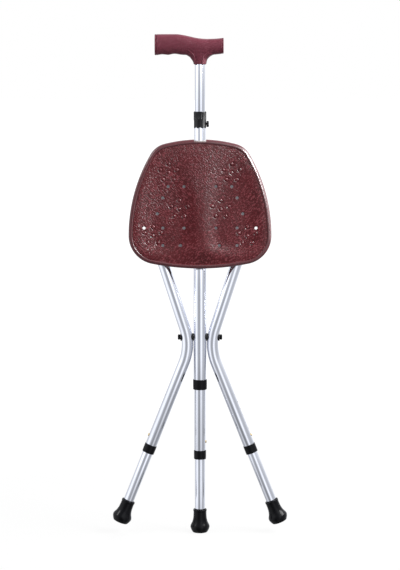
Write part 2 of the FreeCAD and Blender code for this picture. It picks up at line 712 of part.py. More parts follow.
def leg_pipe(body, side, radii):
    """A pipe along the leg's centre line with one circle for each radius."""
    low = spine_points(side)[0]
    ring = new_sketch(body, "XY_Plane", (low[0], "0", low[1]), "leg_splay", Vector(0, -side, 0))
    for radius in radii:
        add_circle(ring, "0", "0", radius)
    path = spine(body, side)
    pipe = body.newObject("PartDesign::AdditivePipe", "pipe")
    pipe.Profile = ring
    pipe.Spine = (path, [])
    doc.recompute()


def side_leg(prefix, side):
    leg = new_body(f"{prefix}_leg_tube")
    leg_pipe(leg, side, [COLUMN_OUT, COLUMN_IN])
    for height, radius in (("pivot_height", "pivot_bolt_radius"), (TOP_PIN_HEIGHT, "leg_pin_radius")):
        cross = new_sketch(leg, "YZ_Plane")
        add_circle(cross, "0", height, f"{radius} + pin_clearance")
        pocket(leg, cross, f"4 * {TOP_PIN_X}", both=True)
    end_x, end_z = spine_points(side)[0]
    row = new_sketch(leg, "YZ_Plane", ("0", end_z, end_x), "leg_splay", Vector(-side, 0, 0))
    adjuster_holes(leg, row, "button_above_end", side > 0)

    end = "(0 - leg_lower_length)"
    ring = collar(
        f"{prefix}_leg_collar", COLUMN_OUT, INNER_OUT, "end_collar_radius", "end_collar_length", end)
    lean_with_leg(ring, side)
    foot(prefix, side, end, "leg_foot_exposed", "leg_foot_inserted", lambda thing: lean_with_leg(thing, side))

    plug = f"({COLUMN_IN} - push_fit)"
    pin_top = f"((leg_pin_radius + touch_gap + {plug} * sin(leg_lean)) / cos(leg_lean))"
    plug_end = f"({UPPER_LENGTH} - leg_top_margin + {pin_top})"
    crown = f"({UPPER_LENGTH} + leg_cap_thickness)"
    cap = turned(f"{prefix}_leg_cap", [
        ("0", plug_end), (plug, plug_end), (plug, UPPER_LENGTH), (COLUMN_OUT, UPPER_LENGTH),
        (COLUMN_OUT, f"{crown} - leg_cap_round"), (f"{COLUMN_OUT} - leg_cap_round", crown), ("0", crown)])
    spot = Vector(side * number(ELBOW_X), 0, number(ELBOW_Z))
    cap.Placement = FreeCAD.Placement(spot, FreeCAD.Rotation(Vector(0, side, 0), number("leg_lean")))
    bind(cap, "Placement.Base.x", f"{side} * {ELBOW_X}")
    bind(cap, "Placement.Base.z", ELBOW_Z)
    bind(cap, "Placement.Rotation.Angle", "leg_lean * 1 deg")


def saddle(label, side, start, end, cutter):
    """A nylon saddle round the pivot bolt: a disc hollowed by the tube that it sits on."""
    disc = doc.addObject("Part::Cylinder", f"{label}_disc")
    lay_across(disc, "pivot_height", side)
    bind(disc, "Radius", "saddle_radius")
    bind(disc, "Height", f"{end} - {start}")
    bind(disc, "Placement.Base.x", f"{side} * {start}")
    bore = doc.addObject("Part::Cylinder", f"{label}_bore")
    lay_across(bore, "pivot_height", side)
    bind(bore, "Radius", "pivot_bolt_radius + pin_clearance")
    bind(bore, "Height", CAP_END)
    holes = doc.addObject("Part::Fuse", f"{label}_holes")
    holes.Base = bore
    holes.Tool = cutter
    piece = doc.addObject("Part::Cut", label)
    piece.Label = label
    piece.Base = disc
    piece.Tool = holes
    return piece


def pivot_saddles(prefix, side):
    """Three saddles on one side: on the column, and inside and outside the leg."""
    core = doc.addObject("Part::Cylinder", f"{prefix}_column_core")
    bind(core, "Radius", SLEEVE_OUT)
    bind(core, "Height", "2 * pivot_height")
    solid_leg = doc.addObject("PartDesign::Body", f"{prefix}_leg_core")
    leg_pipe(solid_leg, side, [COLUMN_OUT])
    for name, start, end, cutter in (
            ("column", f"({SADDLE_FACE} - saddle_depth)", SADDLE_FACE, core),
            ("inner", f"({SADDLE_FACE} + face_gap)", f"({SADDLE_FACE} + face_gap + saddle_depth)", solid_leg),
            ("outer", f"({OUTER_SADDLE_END} - saddle_depth)", OUTER_SADDLE_END, solid_leg)):
        nodes.append(saddle(f"{prefix}_{name}_saddle", side, start, end, cutter))


for prefix, side in (("left", -1), ("right", 1)):
    side_leg(prefix, side)
    pivot_saddles(prefix, side)
    pivot_cap(f"{prefix}_pivot_cap", side)


# Slider: a nylon sleeve that rides the column and carries the seat's hinge.

SLIDER_FOOT = f"({HINGE_HEIGHT} - slider_below)"
SLIDER_HEAD = f"({HINGE_HEIGHT} + slider_above)"
SLIDER_RIM = f"({SLIDER_OUT} + slider_rim)"
slider = turned("slider", [
    (SLIDER_IN, SLIDER_FOOT), (SLIDER_RIM, SLIDER_FOOT), (SLIDER_RIM, f"{SLIDER_FOOT} + slider_rim_length"),
    (SLIDER_OUT, f"{SLIDER_FOOT} + slider_rim_length + slider_rim"), (SLIDER_OUT, SLIDER_HEAD),
    (SLIDER_IN, SLIDER_HEAD)])
socket_sketch = new_sketch(slider, "YZ_Plane")
add_circle(socket_sketch, "0", HINGE_HEIGHT, "hinge_pin_radius + pin_clearance")
pocket(slider, socket_sketch, f"4 * {SLIDER_OUT}", both=True)


# Seat shell: a plate with two shallow hollows and a skirt all round. In seat sketches X is across
# the seat and Y is up; each sketch lies parallel to the column, a distance in front of it.

def outline_arcs(inset):
    """The seat's edge, shrunk by an inset: nine tangent arcs, symmetric about the middle."""
    top, shoulder, side, hip = [number(f"{n}_radius") - inset for n in ("top", "shoulder", "side", "hip")]
    turns = [0, number("top_turn"), number("shoulder_turn"), 90, number("hip_turn"), 180]
    sines = [math.sin(math.radians(t)) for t in turns]
    cosines = [math.cos(math.radians(t)) for t in turns]
    reach = top * sines[1] + shoulder * (sines[2] - sines[1]) + side * (1 - sines[2]) - hip * (1 - sines[4])
    radii = [top, shoulder, side, hip, reach / sines[4]]
    x, z = 0.0, number(SEAT_TOP) - inset
    arcs = []
    for i, radius in enumerate(radii):
        centre = Vector(x - radius * sines[i], z - radius * cosines[i], 0)
        start, end = 90 - turns[i], 90 - turns[i + 1]
        arcs.append((centre, radius, end, start))
        x = centre.x + radius * sines[i + 1]
        z = centre.y + radius * cosines[i + 1]
    return arcs


def add_outline(sketch, inset):
    """Draws the seat's edge in a sketch, right half and its mirror image."""
    for centre, radius, start, end in outline_arcs(inset):
        for flip in (False, True):
            middle = Vector(-centre.x, centre.y, 0) if flip else centre
            low, high = (180 - end, 180 - start) if flip else (start, end)
            circle = Part.Circle(middle, Vector(0, 0, 1), radius)
            sketch.addGeometry(Part.ArcOfCircle(circle, math.radians(low), math.radians(high)), False)


def seat_sketch(body, distance):
    """A sketch parallel to the column, a distance in front of its axis."""
    return new_sketch(body, "XZ_Plane", base=("0", "0", distance))


shell = new_body("seat_shell")
edge = seat_sketch(shell, "seat_back")
add_outline(edge, 0.0)
pad(shell, edge, f"{SEAT_FRONT} - seat_back")


def on_front(edge):
    box = edge.BoundBox
    return abs(box.YMin + number(SEAT_FRONT)) < 1e-3 and box.YLength < 1e-3


fillet(shell, "seat_edge_round", on_front)
inside = seat_sketch(shell, "seat_back")
add_outline(inside, number("seat_wall"))
pocket(shell, inside, "seat_under - seat_back", backwards=True)


def edge_height(x, low):
    """The height of the seat's edge at a distance from the middle, on its lower or upper arc."""
    centre, radius, _, _ = outline_arcs(0.0)[-1 if low else 0]
    rise = math.sqrt(radius ** 2 - x ** 2)
    return centre.y - rise if low else centre.y + rise


def add_rib(x0, x1, z0, z1):
    rib = seat_sketch(shell, f"seat_under + {BOND}")
    add_polygon(rib, rectangle(x0, x1, z0, z1))
    pad(shell, rib, f"rib_depth + {BOND}", backwards=True)


PLATE_LOW = f"({TOP_PIN_HEIGHT} - bracket_half_length + bracket_thickness)"
PLATE_STEP = f"({TOP_PIN_HEIGHT} + bracket_half_length + bracket_thickness)"
PLATE_HIGH = f"({PLATE_LOW} + plate_height)"
for side in (-1, 1):
    for spot in ("lower_rib_spot", "outer_rib_spot"):
        foot_of_rib = edge_height(number(spot), True) + number("seat_wall") / 2
        add_rib(f"{side} * ({spot} - rib_thickness / 2)", f"{side} * ({spot} + rib_thickness / 2)",
                str(foot_of_rib), f"{PLATE_LOW} - touch_gap")
    head_of_rib = edge_height(number("upper_rib_spot"), False) - number("seat_wall") / 2
    add_rib(f"{side} * (upper_rib_spot - rib_thickness / 2)",
            f"{side} * (upper_rib_spot + rib_thickness / 2)", f"{PLATE_HIGH} + touch_gap", str(head_of_rib))

# moulded ears that hold the hinge pins
EAR_START = f"({SLIDER_OUT} + 2 * touch_gap)"
for side in (-1, 1):
    for add in ("arm", "eye"):
        ear = new_sketch(shell, "YZ_Plane", base=("0", "0", f"{side} * {EAR_START}"))
        if add == "arm":
            add_polygon(ear, rectangle(f"-seat_under - {BOND}", "0", f"{HINGE_HEIGHT} - ear_radius",
                                       f"{HINGE_HEIGHT} + ear_radius"))
        else:
            add_circle(ear, "0", HINGE_HEIGHT, "ear_radius")
        pad(shell, ear, "ear_thickness", backwards=side < 0)
cross = new_sketch(shell, "YZ_Plane")
add_circle(cross, "0", HINGE_HEIGHT, "hinge_pin_radius + push_fit")
pocket(shell, cross, f"3 * {EAR_START}", both=True)

# the notch that the column leans into when the stool is open
NOTCH_REACH = f"({COLUMN_OUT} + notch_clearance)"
notch = new_sketch(shell, "YZ_Plane")
NOTCH_NEAR = f"(seat_back - {PAST})"
NOTCH_FAR = f"({SEAT_FRONT} + {PAST})"
NOTCH_TOP = f"({SEAT_TOP} + {PAST})"


def notch_slope(distance):
    """The height of the notch's floor, under the open column, at a distance in front of the hinge."""
    near_side = f"{distance} / tan(open_angle) - {NOTCH_REACH} / sin(open_angle)"
    return f"({HINGE_HEIGHT} + {near_side} - notch_drop)"


add_polygon(notch, [
    (f"-{NOTCH_NEAR}", notch_slope(NOTCH_NEAR)), (f"-{NOTCH_FAR}", notch_slope(NOTCH_FAR)),
    (f"-{NOTCH_FAR}", NOTCH_TOP), (f"-{NOTCH_NEAR}", NOTCH_TOP)])
pocket(shell, notch, f"2 * {NOTCH_REACH}", both=True)

# two shallow oval hollows in the sitting face, each cut by a ring that curves more across than along
CURVE_ACROSS = "(dish_half_width ^ 2 / (2 * dish_depth) + dish_depth / 2)"
CURVE_ALONG = "(dish_half_length ^ 2 / (2 * dish_depth) + dish_depth / 2)"
for side in (-1, 1):
    before = shell.Shape.Volume
    dish = shell.newObject("PartDesign::SubtractiveTorus", "dish")
    dish.AttachmentSupport = [(next(p for p in shell.Origin.OriginFeatures if p.Role == "YZ_Plane"), "")]
    dish.MapMode = "FlatFace"
    bind(dish, "AttachmentOffset.Base.x", f"dish_depth - {SEAT_FRONT} - {CURVE_ALONG}")
    bind(dish, "AttachmentOffset.Base.y", f"{SEAT_TOP} - dish_drop")
    bind(dish, "AttachmentOffset.Base.z", f"{side} * dish_offset")
    bind(dish, "Radius1", f"{CURVE_ALONG} - {CURVE_ACROSS}")
    bind(dish, "Radius2", CURVE_ACROSS)
    doc.recompute()
    assert shell.Shape.Volume < before - 1, "a dish cuts nothing"

# vent holes, each row its drop below the seat's top and the distances from the middle of its holes
vent_rows = [
    ("vent_drop_1", ["vent_inner", "vent_upper"]),
    ("vent_drop_2", ["vent_outer"]),
    ("vent_drop_3", ["vent_wide"]),
    ("vent_drop_4", ["vent_inner", "vent_outer", "vent_edge"]),
    ("vent_drop_5", ["vent_next", "vent_outer"]),
]
vents = seat_sketch(shell, f"seat_under - {PAST}")
for drop, distances in vent_rows:
    for distance in distances:
        for side in (-1, 1):
            add_circle(vents, f"{side} * {distance}", f"{SEAT_TOP} - {drop}", "vent_radius")
pocket(shell, vents, f"seat_plate + 2 * {PAST}", backwards=True)

# blind holes for the screws that hold the plate and the brackets
BRACKET_REACH = "(bracket_span + bracket_thickness)"
screw_spots = {
    "plate_screws": [
        (f"{side} * plate_screw_spot", height, "plate_thickness")
        for side in (-1, 1)
        for height in (f"{PLATE_LOW} + plate_screw_low", f"{PLATE_HIGH} - plate_screw_high")],
    "bracket_screws": [
        (f"{side} * {TOP_PIN_X}", f"{TOP_PIN_HEIGHT} + {way} * (bracket_half_length - bracket_screw_inset)",
         "bracket_thickness") for side in (-1, 1) for way in (-1, 1)],
}
holes = seat_sketch(shell, "seat_under")
for spots in screw_spots.values():
    for x, z, _ in spots:
        add_circle(holes, x, z, "screw_radius + push_fit")
pocket(shell, holes, "screw_grip", backwards=True)


# Metal under the seat: a stiffening plate, two forked brackets, their pins, spacers and screws.

backing = new_body("seat_backing_plate")
face = seat_sketch(backing, "seat_under")
add_polygon(face, [
    ("-plate_low_half", PLATE_LOW), ("plate_low_half", PLATE_LOW), ("plate_low_half", PLATE_STEP),
    ("plate_high_half", PLATE_STEP), ("plate_high_half", f"{PLATE_HIGH} - plate_chamfer"),
    ("plate_high_half - plate_chamfer", PLATE_HIGH), ("plate_chamfer - plate_high_half", PLATE_HIGH),
    ("-plate_high_half", f"{PLATE_HIGH} - plate_chamfer"), ("-plate_high_half", PLATE_STEP),
    ("-plate_low_half", PLATE_STEP)])
for x, z, _ in screw_spots["plate_screws"]:
    add_circle(face, x, z, "screw_radius + push_fit")
pad(backing, face, "plate_thickness", backwards=True)


def bracket(prefix, side):
    """A forked bracket: a base on the seat and two ears astride the leg's upper end."""
    fork = new_body(f"{prefix}_bracket")
    base = seat_sketch(fork, "seat_under")
    low, high = f"({TOP_PIN_HEIGHT} - bracket_half_length)", f"({TOP_PIN_HEIGHT} + bracket_half_length)"
    add_polygon(base, rectangle(
        f"{side} * ({TOP_PIN_X} - {BRACKET_REACH})", f"{side} * ({TOP_PIN_X} + {BRACKET_REACH})", low, high))
    for height in (f"{low} + bracket_screw_inset", f"{high} - bracket_screw_inset"):
        add_circle(base, f"{side} * {TOP_PIN_X}", height, "screw_radius + push_fit")
    pad(fork, base, "bracket_thickness", backwards=True)
    for start in (f"({TOP_PIN_X} - {BRACKET_REACH})", f"({TOP_PIN_X} + bracket_span)"):
        for part_of_ear in ("arm", "eye"):
            ear = new_sketch(fork, "YZ_Plane", base=("0", "0", f"{side} * {start}"))
            if part_of_ear == "arm":
                add_polygon(ear, [
                    ("-seat_under", low), ("0", f"{TOP_PIN_HEIGHT} - bracket_ear_radius"),
                    ("0", f"{TOP_PIN_HEIGHT} + bracket_ear_radius"), ("-seat_under", high)])
            else:
                add_circle(ear, "0", TOP_PIN_HEIGHT, "bracket_ear_radius")
            pad(fork, ear, "bracket_thickness", backwards=side < 0)
    cross = new_sketch(fork, "YZ_Plane")
    add_circle(cross, "0", TOP_PIN_HEIGHT, "leg_pin_radius + push_fit")
    pocket(fork, cross, f"4 * {TOP_PIN_X}", both=True)


def cross_pin(label, side, radius, start, end, height):
    """A headed pin along X with its head outwards."""
    head = f"{radius} + pin_head_flare"
    crown = f"({end} + pin_head_length)"
    pin = turned(label, [
        ("0", start), (radius, start), (radius, end), (head, end), (head, f"{crown} - pin_bevel"),
        (f"{head} - pin_bevel", crown), ("0", crown)])
    lay_across(pin, height, side)
    return pin


def group(label, pieces):
    """One node of several equal pieces."""
    for piece in pieces:
        if piece in nodes:
            nodes.remove(piece)
    compound = doc.addObject("Part::Compound", label)
    compound.Label = label
    compound.Links = pieces
    nodes.append(compound)


SPACER_END = f"({COLUMN_OUT} / cos(leg_lean) + spacer_radius * tan(leg_lean) + touch_gap)"
for prefix, side in (("left", -1), ("right", 1)):
    bracket(prefix, side)
    cross_pin(f"{prefix}_leg_pin", side, "leg_pin_radius", f"({TOP_PIN_X} - {BRACKET_REACH} - pin_tail)",
              f"({TOP_PIN_X} + {BRACKET_REACH})", TOP_PIN_HEIGHT)
    spacers = []
    for name, start, end in (
            ("inner", f"({TOP_PIN_X} - bracket_span + push_fit)", f"({TOP_PIN_X} - {SPACER_END})"),
            ("outer", f"({TOP_PIN_X} + {SPACER_END})", f"({TOP_PIN_X} + bracket_span - push_fit)")):
        spacer = tube(f"{prefix}_{name}_spacer", "(leg_pin_radius + push_fit)", "spacer_radius", start, end)
        lay_across(spacer, TOP_PIN_HEIGHT, side)
        spacers.append(spacer)
    group(f"{prefix}_leg_spacers", spacers)

group("seat_hinge_pins", [
    cross_pin(f"{name}_hinge_pin", side, "hinge_pin_radius", f"({SLIDER_IN} + touch_gap)",
              f"({EAR_START} + ear_thickness)", HINGE_HEIGHT)
    for name, side in (("left", -1), ("right", 1))])


def screw(label, x, z, under):
    """A round-headed screw driven forwards into the seat from behind a sheet of some thickness."""
    seat_at = f"({under} - seat_under)"
    point = "(touch_gap - seat_under - screw_grip)"
    crown = f"({seat_at} + screw_head_height)"
    piece = turned(label, [
        ("0", point), ("screw_radius", point), ("screw_radius", seat_at), ("screw_head_radius", seat_at),
        ("screw_head_radius", f"{seat_at} + 0.5 * screw_head_height"), ("0.5 * screw_head_radius", crown),
        ("0", crown)])
    forwards = FreeCAD.Rotation(Vector(1, 0, 0), -90)
    piece.Placement = FreeCAD.Placement(Vector(number(x), 0, number(z)), forwards)
    bind(piece, "Placement.Base.x", x)
    bind(piece, "Placement.Base.z", z)
    return piece


for label, spots in screw_spots.items():
    group(label, [screw(f"{label}_{i + 1}", x, z, under) for i, (x, z, under) in enumerate(spots)])

doc.recompute()

os.makedirs("parts", exist_ok=True)
for thing in doc.Objects:
    assert "Invalid" not in thing.State and "Error" not in thing.State, f"{thing.Label}: {thing.State}"
for node in nodes:
    assert not node.Shape.isNull() and node.Shape.isValid(), f"{node.Label} is not a valid shape"
    node.Shape.exportStep(f"parts/{node.Label}.step")
    print(node.Label, len(node.Shape.Solids), round(node.Shape.Volume, 1))
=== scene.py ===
import json
import math

import bmesh
import bpy
from mathutils import Matrix, Vector
from mathutils.geometry import delaunay_2d_cdt
from mathutils.kdtree import KDTree


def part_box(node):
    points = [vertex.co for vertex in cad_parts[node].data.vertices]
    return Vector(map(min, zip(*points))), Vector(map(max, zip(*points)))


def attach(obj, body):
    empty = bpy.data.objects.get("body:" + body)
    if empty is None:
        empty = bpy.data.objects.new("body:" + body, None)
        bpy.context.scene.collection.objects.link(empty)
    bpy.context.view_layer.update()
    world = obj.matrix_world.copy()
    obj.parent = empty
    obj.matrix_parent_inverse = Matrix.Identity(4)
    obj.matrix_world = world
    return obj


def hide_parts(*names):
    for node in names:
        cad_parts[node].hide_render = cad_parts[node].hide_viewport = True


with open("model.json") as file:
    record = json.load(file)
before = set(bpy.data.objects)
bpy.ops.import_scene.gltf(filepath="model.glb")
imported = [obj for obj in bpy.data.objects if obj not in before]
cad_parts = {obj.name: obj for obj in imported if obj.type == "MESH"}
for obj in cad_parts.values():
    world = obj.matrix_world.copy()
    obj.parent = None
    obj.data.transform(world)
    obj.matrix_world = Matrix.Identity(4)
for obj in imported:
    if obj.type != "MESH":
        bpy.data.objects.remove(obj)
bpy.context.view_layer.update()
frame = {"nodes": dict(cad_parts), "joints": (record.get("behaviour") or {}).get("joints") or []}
scene = bpy.context.scene
nodes = frame["nodes"]
mm = 0.001
print("frame loaded:", len(nodes), "CAD nodes")


# Camera and light

cameraSettings = {
    "distance": 3.36,
    "height": 0.83,
    "pitch": math.radians(4.8),
    "focalPixels": 1973.6,  # in a picture of frameHeight pixels
    "frameHeight": 570,
    "sensor": 36.0,
    "shift": -0.1204,
}


def makeCamera(s):
    data = bpy.data.cameras.new("camera")
    data.sensor_width = s["sensor"]
    data.lens = s["focalPixels"] * s["sensor"] / s["frameHeight"]
    data.shift_y = s["shift"]
    camera = bpy.data.objects.new("camera", data)
    camera.location = (0, -s["distance"], s["height"])
    camera.rotation_euler = (math.pi / 2 - s["pitch"], 0, 0)
    scene.collection.objects.link(camera)
    scene.camera = camera


makeCamera(cameraSettings)
scene.view_settings.view_transform = "Standard"

# each lamp stands away from lampAim at a bearing from the camera's side and a rise, both in degrees,
# and lights surfaces, shines on them or both
lampAim = Vector((0.02, 0, 0.53))
lampSettings = {
    "keyRight": {"bearing": 76, "rise": 37, "away": 2.6, "size": (1.8, 1.1), "power": 135, "lights": True,
                 "shines": True},
    "softFront": {"bearing": 24, "rise": 22, "away": 2.6, "size": (1.4, 1.6), "power": 15, "lights": True,
                  "shines": False},
    "sheenRight": {"bearing": 34, "rise": 20, "away": 1.0, "size": (0.2, 0.2), "power": 36, "lights": False,
                   "shines": True},
    "stripRight": {"bearing": 82, "rise": 10, "away": 2.0, "size": (1.1, 1.4), "power": 52, "lights": False,
                   "shines": True},
    "fillLeft": {"bearing": -72, "rise": 34, "away": 2.6, "size": (0.7, 0.9), "power": 26, "lights": True,
                 "shines": True},
    "backSoft": {"bearing": 165, "rise": 30, "away": 2.6, "size": (1.6, 1.4), "power": 40, "lights": True,
                 "shines": False},
}


def makeLamp(name, s):
    data = bpy.data.lights.new(name, "AREA")
    data.shape = "RECTANGLE"
    data.size, data.size_y = s["size"]
    data.energy = s["power"]
    lamp = bpy.data.objects.new(name, data)
    bearing, rise = math.radians(s["bearing"]), math.radians(s["rise"])
    level = math.cos(rise)
    way = Vector((level * math.sin(bearing), -level * math.cos(bearing), math.sin(rise)))
    lamp.location = lampAim + s["away"] * way
    lamp.rotation_euler = (lampAim - lamp.location).to_track_quat("-Z", "Y").to_euler()
    lamp.visible_diffuse = s["lights"]
    lamp.visible_glossy = s["shines"]
    scene.collection.objects.link(lamp)


for lampName, lampValues in lampSettings.items():
    makeLamp(lampName, lampValues)
print("camera and lamps placed")


# Shader helpers

def addNode(tree, kind, **values):
    node = tree.nodes.new(kind)
    for key, value in values.items():
        setattr(node, key, value)
    return node


def wire(tree, source, target):
    tree.links.new(source, target)


def feed(tree, socket, value):
    # sets a number or a colour on a socket, and wires anything else to it
    if isinstance(value, tuple):
        socket.default_value = (*value, 1)
    elif isinstance(value, (int, float)):
        socket.default_value = value
    else:
        wire(tree, value, socket)


def mathNode(tree, operation, *values):
    node = addNode(tree, "ShaderNodeMath", operation=operation)
    for socket, value in zip(node.inputs, values):
        feed(tree, socket, value)
    return node.outputs[0]


def mapRange(tree, value, low, high, newLow, newHigh, smooth=True):
    node = addNode(tree, "ShaderNodeMapRange", interpolation_type="SMOOTHSTEP" if smooth else "LINEAR")
    for name, given in (("Value", value), ("From Min", low), ("From Max", high), ("To Min", newLow),
                        ("To Max", newHigh)):
        feed(tree, node.inputs[name], given)
    return node.outputs["Result"]


def mixColour(tree, factor, a, b, blend="MIX"):
    node = addNode(tree, "ShaderNodeMix", data_type="RGBA", blend_type=blend)
    for index, value in ((0, factor), (6, a), (7, b)):  # the node's sockets for colours
        feed(tree, node.inputs[index], value)
    return node.outputs[2]


def objectCoords(tree):
    return addNode(tree, "ShaderNodeTexCoord").outputs["Object"]


def leaning(tree, vector, lean, stretch):
    # coordinates turned in the X-Z plane and then stretched
    turned = addNode(tree, "ShaderNodeVectorRotate", rotation_type="Y_AXIS")
    wire(tree, vector, turned.inputs["Vector"])
    wire(tree, lean, turned.inputs["Angle"])
    stretched = addNode(tree, "ShaderNodeVectorMath", operation="MULTIPLY")
    wire(tree, turned.outputs[0], stretched.inputs[0])
    stretched.inputs[1].default_value = stretch
    return stretched.outputs[0]


def noiseNode(tree, vector, scale, detail=3, roughness=0.55):
    node = addNode(tree, "ShaderNodeTexNoise")
    for name, value in (("Vector", vector), ("Scale", scale), ("Detail", detail), ("Roughness", roughness)):
        feed(tree, node.inputs[name], value)
    return node.outputs["Fac"]


def newGroup(name, inputs, outputs):
    # a node group, its inputs given as name to default value and its outputs as name to kind of socket
    tree = bpy.data.node_groups.new(name, "ShaderNodeTree")
    for socketName, value in inputs.items():
        isColour = isinstance(value, tuple)
        kind = "NodeSocketColor" if isColour else "NodeSocketFloat"
        socket = tree.interface.new_socket(socketName, in_out="INPUT", socket_type=kind)
        socket.default_value = (*value, 1) if isColour else value
    for socketName, kind in outputs.items():
        tree.interface.new_socket(socketName, in_out="OUTPUT", socket_type=kind)
    source = addNode(tree, "NodeGroupInput")
    sink = addNode(tree, "NodeGroupOutput")
    return tree, source.outputs, sink.inputs


def place(tree, group, **values):
    # a group in a material, with its own values
    node = addNode(tree, "ShaderNodeGroup", node_tree=group)
    for name, value in values.items():
        feed(tree, node.inputs[name], value)
    return node.outputs


cloudSettings = {"from": 0.38, "to": 0.66, "fineScale": 9.0, "share": 0.6}


def handledSurface():
    # the cloudy tone and uneven gloss that any handled or moulded surface has
    s = cloudSettings
    tree, given, result = newGroup(
        "handledSurface",
        {"Colour": (0.5, 0.5, 0.5), "Shade": (0.4, 0.4, 0.4), "Scale": 40.0, "Amount": 0.3,
         "GlossLow": 0.3, "GlossHigh": 0.4},
        {"Colour": "NodeSocketColor", "Roughness": "NodeSocketFloat"})
    cloud = noiseNode(tree, objectCoords(tree), given["Scale"], 4)
    fine = noiseNode(tree, objectCoords(tree), mathNode(tree, "MULTIPLY", given["Scale"], s["fineScale"]), 2)
    mask = mapRange(tree, cloud, s["from"], s["to"], 0.0, 1.0)
    factor = mathNode(tree, "MULTIPLY", mask, given["Amount"])
    wire(tree, mixColour(tree, factor, given["Colour"], given["Shade"]), result["Colour"])
    coarse = mathNode(tree, "MULTIPLY", mask, s["share"])
    uneven = mathNode(tree, "ADD", coarse, mathNode(tree, "MULTIPLY", fine, 1 - s["share"]))
    gloss = mapRange(tree, uneven, 0.0, 1.0, given["GlossLow"], given["GlossHigh"], smooth=False)
    wire(tree, gloss, result["Roughness"])
    return tree


grainSettings = {
    "warpScale": 28.0,
    "warpDetail": 3.0,
    "warp": 0.007,
    "stretch": 2.6,  # how much longer than wide a crease is
    "turnFrom": -0.06,  # across the line where the creases change their lean
    "turnTo": 0.10,
    "creaseFrom": 0.4,
    "creaseTo": 0.6,
    "creaseShare": 0.7,
    "pebbleEdge": 0.3,
    # the streak levels between which the painted highlight on the creases comes in
    "highlightFrom": 0.52,
    "highlightTo": 0.62,
}


def hideGrain():
    # fine hide-like creases: small pebbles and warped streaks, aslant one way above left and the other way
    # below right; Tone marks the streaks that get a painted highlight
    s = grainSettings
    tree, given, result = newGroup(
        "hideGrain", {"Cells": 520.0, "Streaks": 240.0, "Lean": 0.8, "Height": 0.57},
        {"Height": "NodeSocketFloat", "Tone": "NodeSocketFloat"})
    flat = objectCoords(tree)
    warp = addNode(tree, "ShaderNodeTexNoise")
    wire(tree, flat, warp.inputs["Vector"])
    warp.inputs["Scale"].default_value = s["warpScale"]
    warp.inputs["Detail"].default_value = s["warpDetail"]
    shove = addNode(tree, "ShaderNodeVectorMath", operation="MULTIPLY_ADD")
    wire(tree, warp.outputs["Color"], shove.inputs[0])
    shove.inputs[1].default_value = [s["warp"]] * 3
    wire(tree, flat, shove.inputs[2])
    warped = shove.outputs[0]

    def creases(lean):
        leant = leaning(tree, warped, lean, (s["stretch"], 1.0, 1.0))
        return noiseNode(tree, leant, given["Streaks"], 1, 0.5)

    parts = addNode(tree, "ShaderNodeSeparateXYZ")
    wire(tree, warped, parts.inputs["Vector"])
    rise = mathNode(tree, "SUBTRACT", parts.outputs["Z"], given["Height"])
    past = mathNode(tree, "SUBTRACT", parts.outputs["X"], rise)
    side = mapRange(tree, past, s["turnFrom"], s["turnTo"], 0.0, 1.0)
    aboveLeft, belowRight = creases(given["Lean"]), creases(mathNode(tree, "MULTIPLY", given["Lean"], -1.0))
    streak = mixColour(tree, side, aboveLeft, belowRight)
    cells = addNode(tree, "ShaderNodeTexVoronoi", feature="DISTANCE_TO_EDGE")
    wire(tree, warped, cells.inputs["Vector"])
    wire(tree, given["Cells"], cells.inputs["Scale"])
    pebble = mapRange(tree, cells.outputs["Distance"], 0.0, s["pebbleEdge"], 0.0, 1.0)
    crease = mapRange(tree, streak, s["creaseFrom"], s["creaseTo"], 0.0, 1.0)
    high = mathNode(tree, "MULTIPLY", crease, s["creaseShare"])
    wire(tree, mathNode(tree, "ADD", high, mathNode(tree, "MULTIPLY", pebble, 1 - s["creaseShare"])),
         result["Height"])
    wire(tree, mapRange(tree, streak, s["highlightFrom"], s["highlightTo"], 0.0, 1.0), result["Tone"])
    return tree


drawnSettings = {"along": 0.012, "broad": 0.25, "share": 0.5}


def drawnMetal():
    # fine and broad lines along a drawn tube, for its tone and its bump; Lean turns them in the X-Z plane
    s = drawnSettings
    tree, given, result = newGroup(
        "drawnMetal", {"Lean": 0.0, "Fineness": 900.0},
        {"Height": "NodeSocketFloat", "Lines": "NodeSocketFloat"})
    drawn = leaning(tree, objectCoords(tree), given["Lean"], (1.0, 1.0, s["along"]))
    lines = noiseNode(tree, drawn, given["Fineness"], 2)
    broad = noiseNode(tree, drawn, mathNode(tree, "MULTIPLY", given["Fineness"], s["broad"]), 2)
    wire(tree, lines, result["Height"])
    fine = mathNode(tree, "MULTIPLY", lines, 1 - s["share"])
    wire(tree, mathNode(tree, "MULTIPLY_ADD", broad, s["share"], fine), result["Lines"])
    return tree


speckleSettings = {"wideScale": 0.2, "fineShare": 0.7}


def mouldSpeckle():
    # the pebbled skin of a moulded plastic or rubber piece
    s = speckleSettings
    tree, given, result = newGroup("mouldSpeckle", {"Scale": 900.0}, {"Height": "NodeSocketFloat"})
    fine = noiseNode(tree, objectCoords(tree), given["Scale"], 3, 0.65)
    wide = noiseNode(tree, objectCoords(tree), mathNode(tree, "MULTIPLY", given["Scale"], s["wideScale"]), 2)
    swell = mathNode(tree, "MULTIPLY", wide, 1 - s["fineShare"])
    wire(tree, mathNode(tree, "MULTIPLY_ADD", fine, s["fineShare"], swell), result["Height"])
    return tree


handledSurfaceGroup = handledSurface()
hideGrainGroup = hideGrain()
drawnMetalGroup = drawnMetal()
mouldSpeckleGroup = mouldSpeckle()
print("shader groups built")


# Materials

def newMaterial(name, metal=0.0, shine=0.5):
    # a material with its Principled shader, and the constants on the shader's own sockets
    material = bpy.data.materials.new(name)
    material.use_nodes = True
    tree = material.node_tree
    shader = tree.nodes["Principled BSDF"]
    shader.inputs["Metallic"].default_value = metal
    shader.inputs["Specular IOR Level"].default_value = shine
    return material, tree, shader


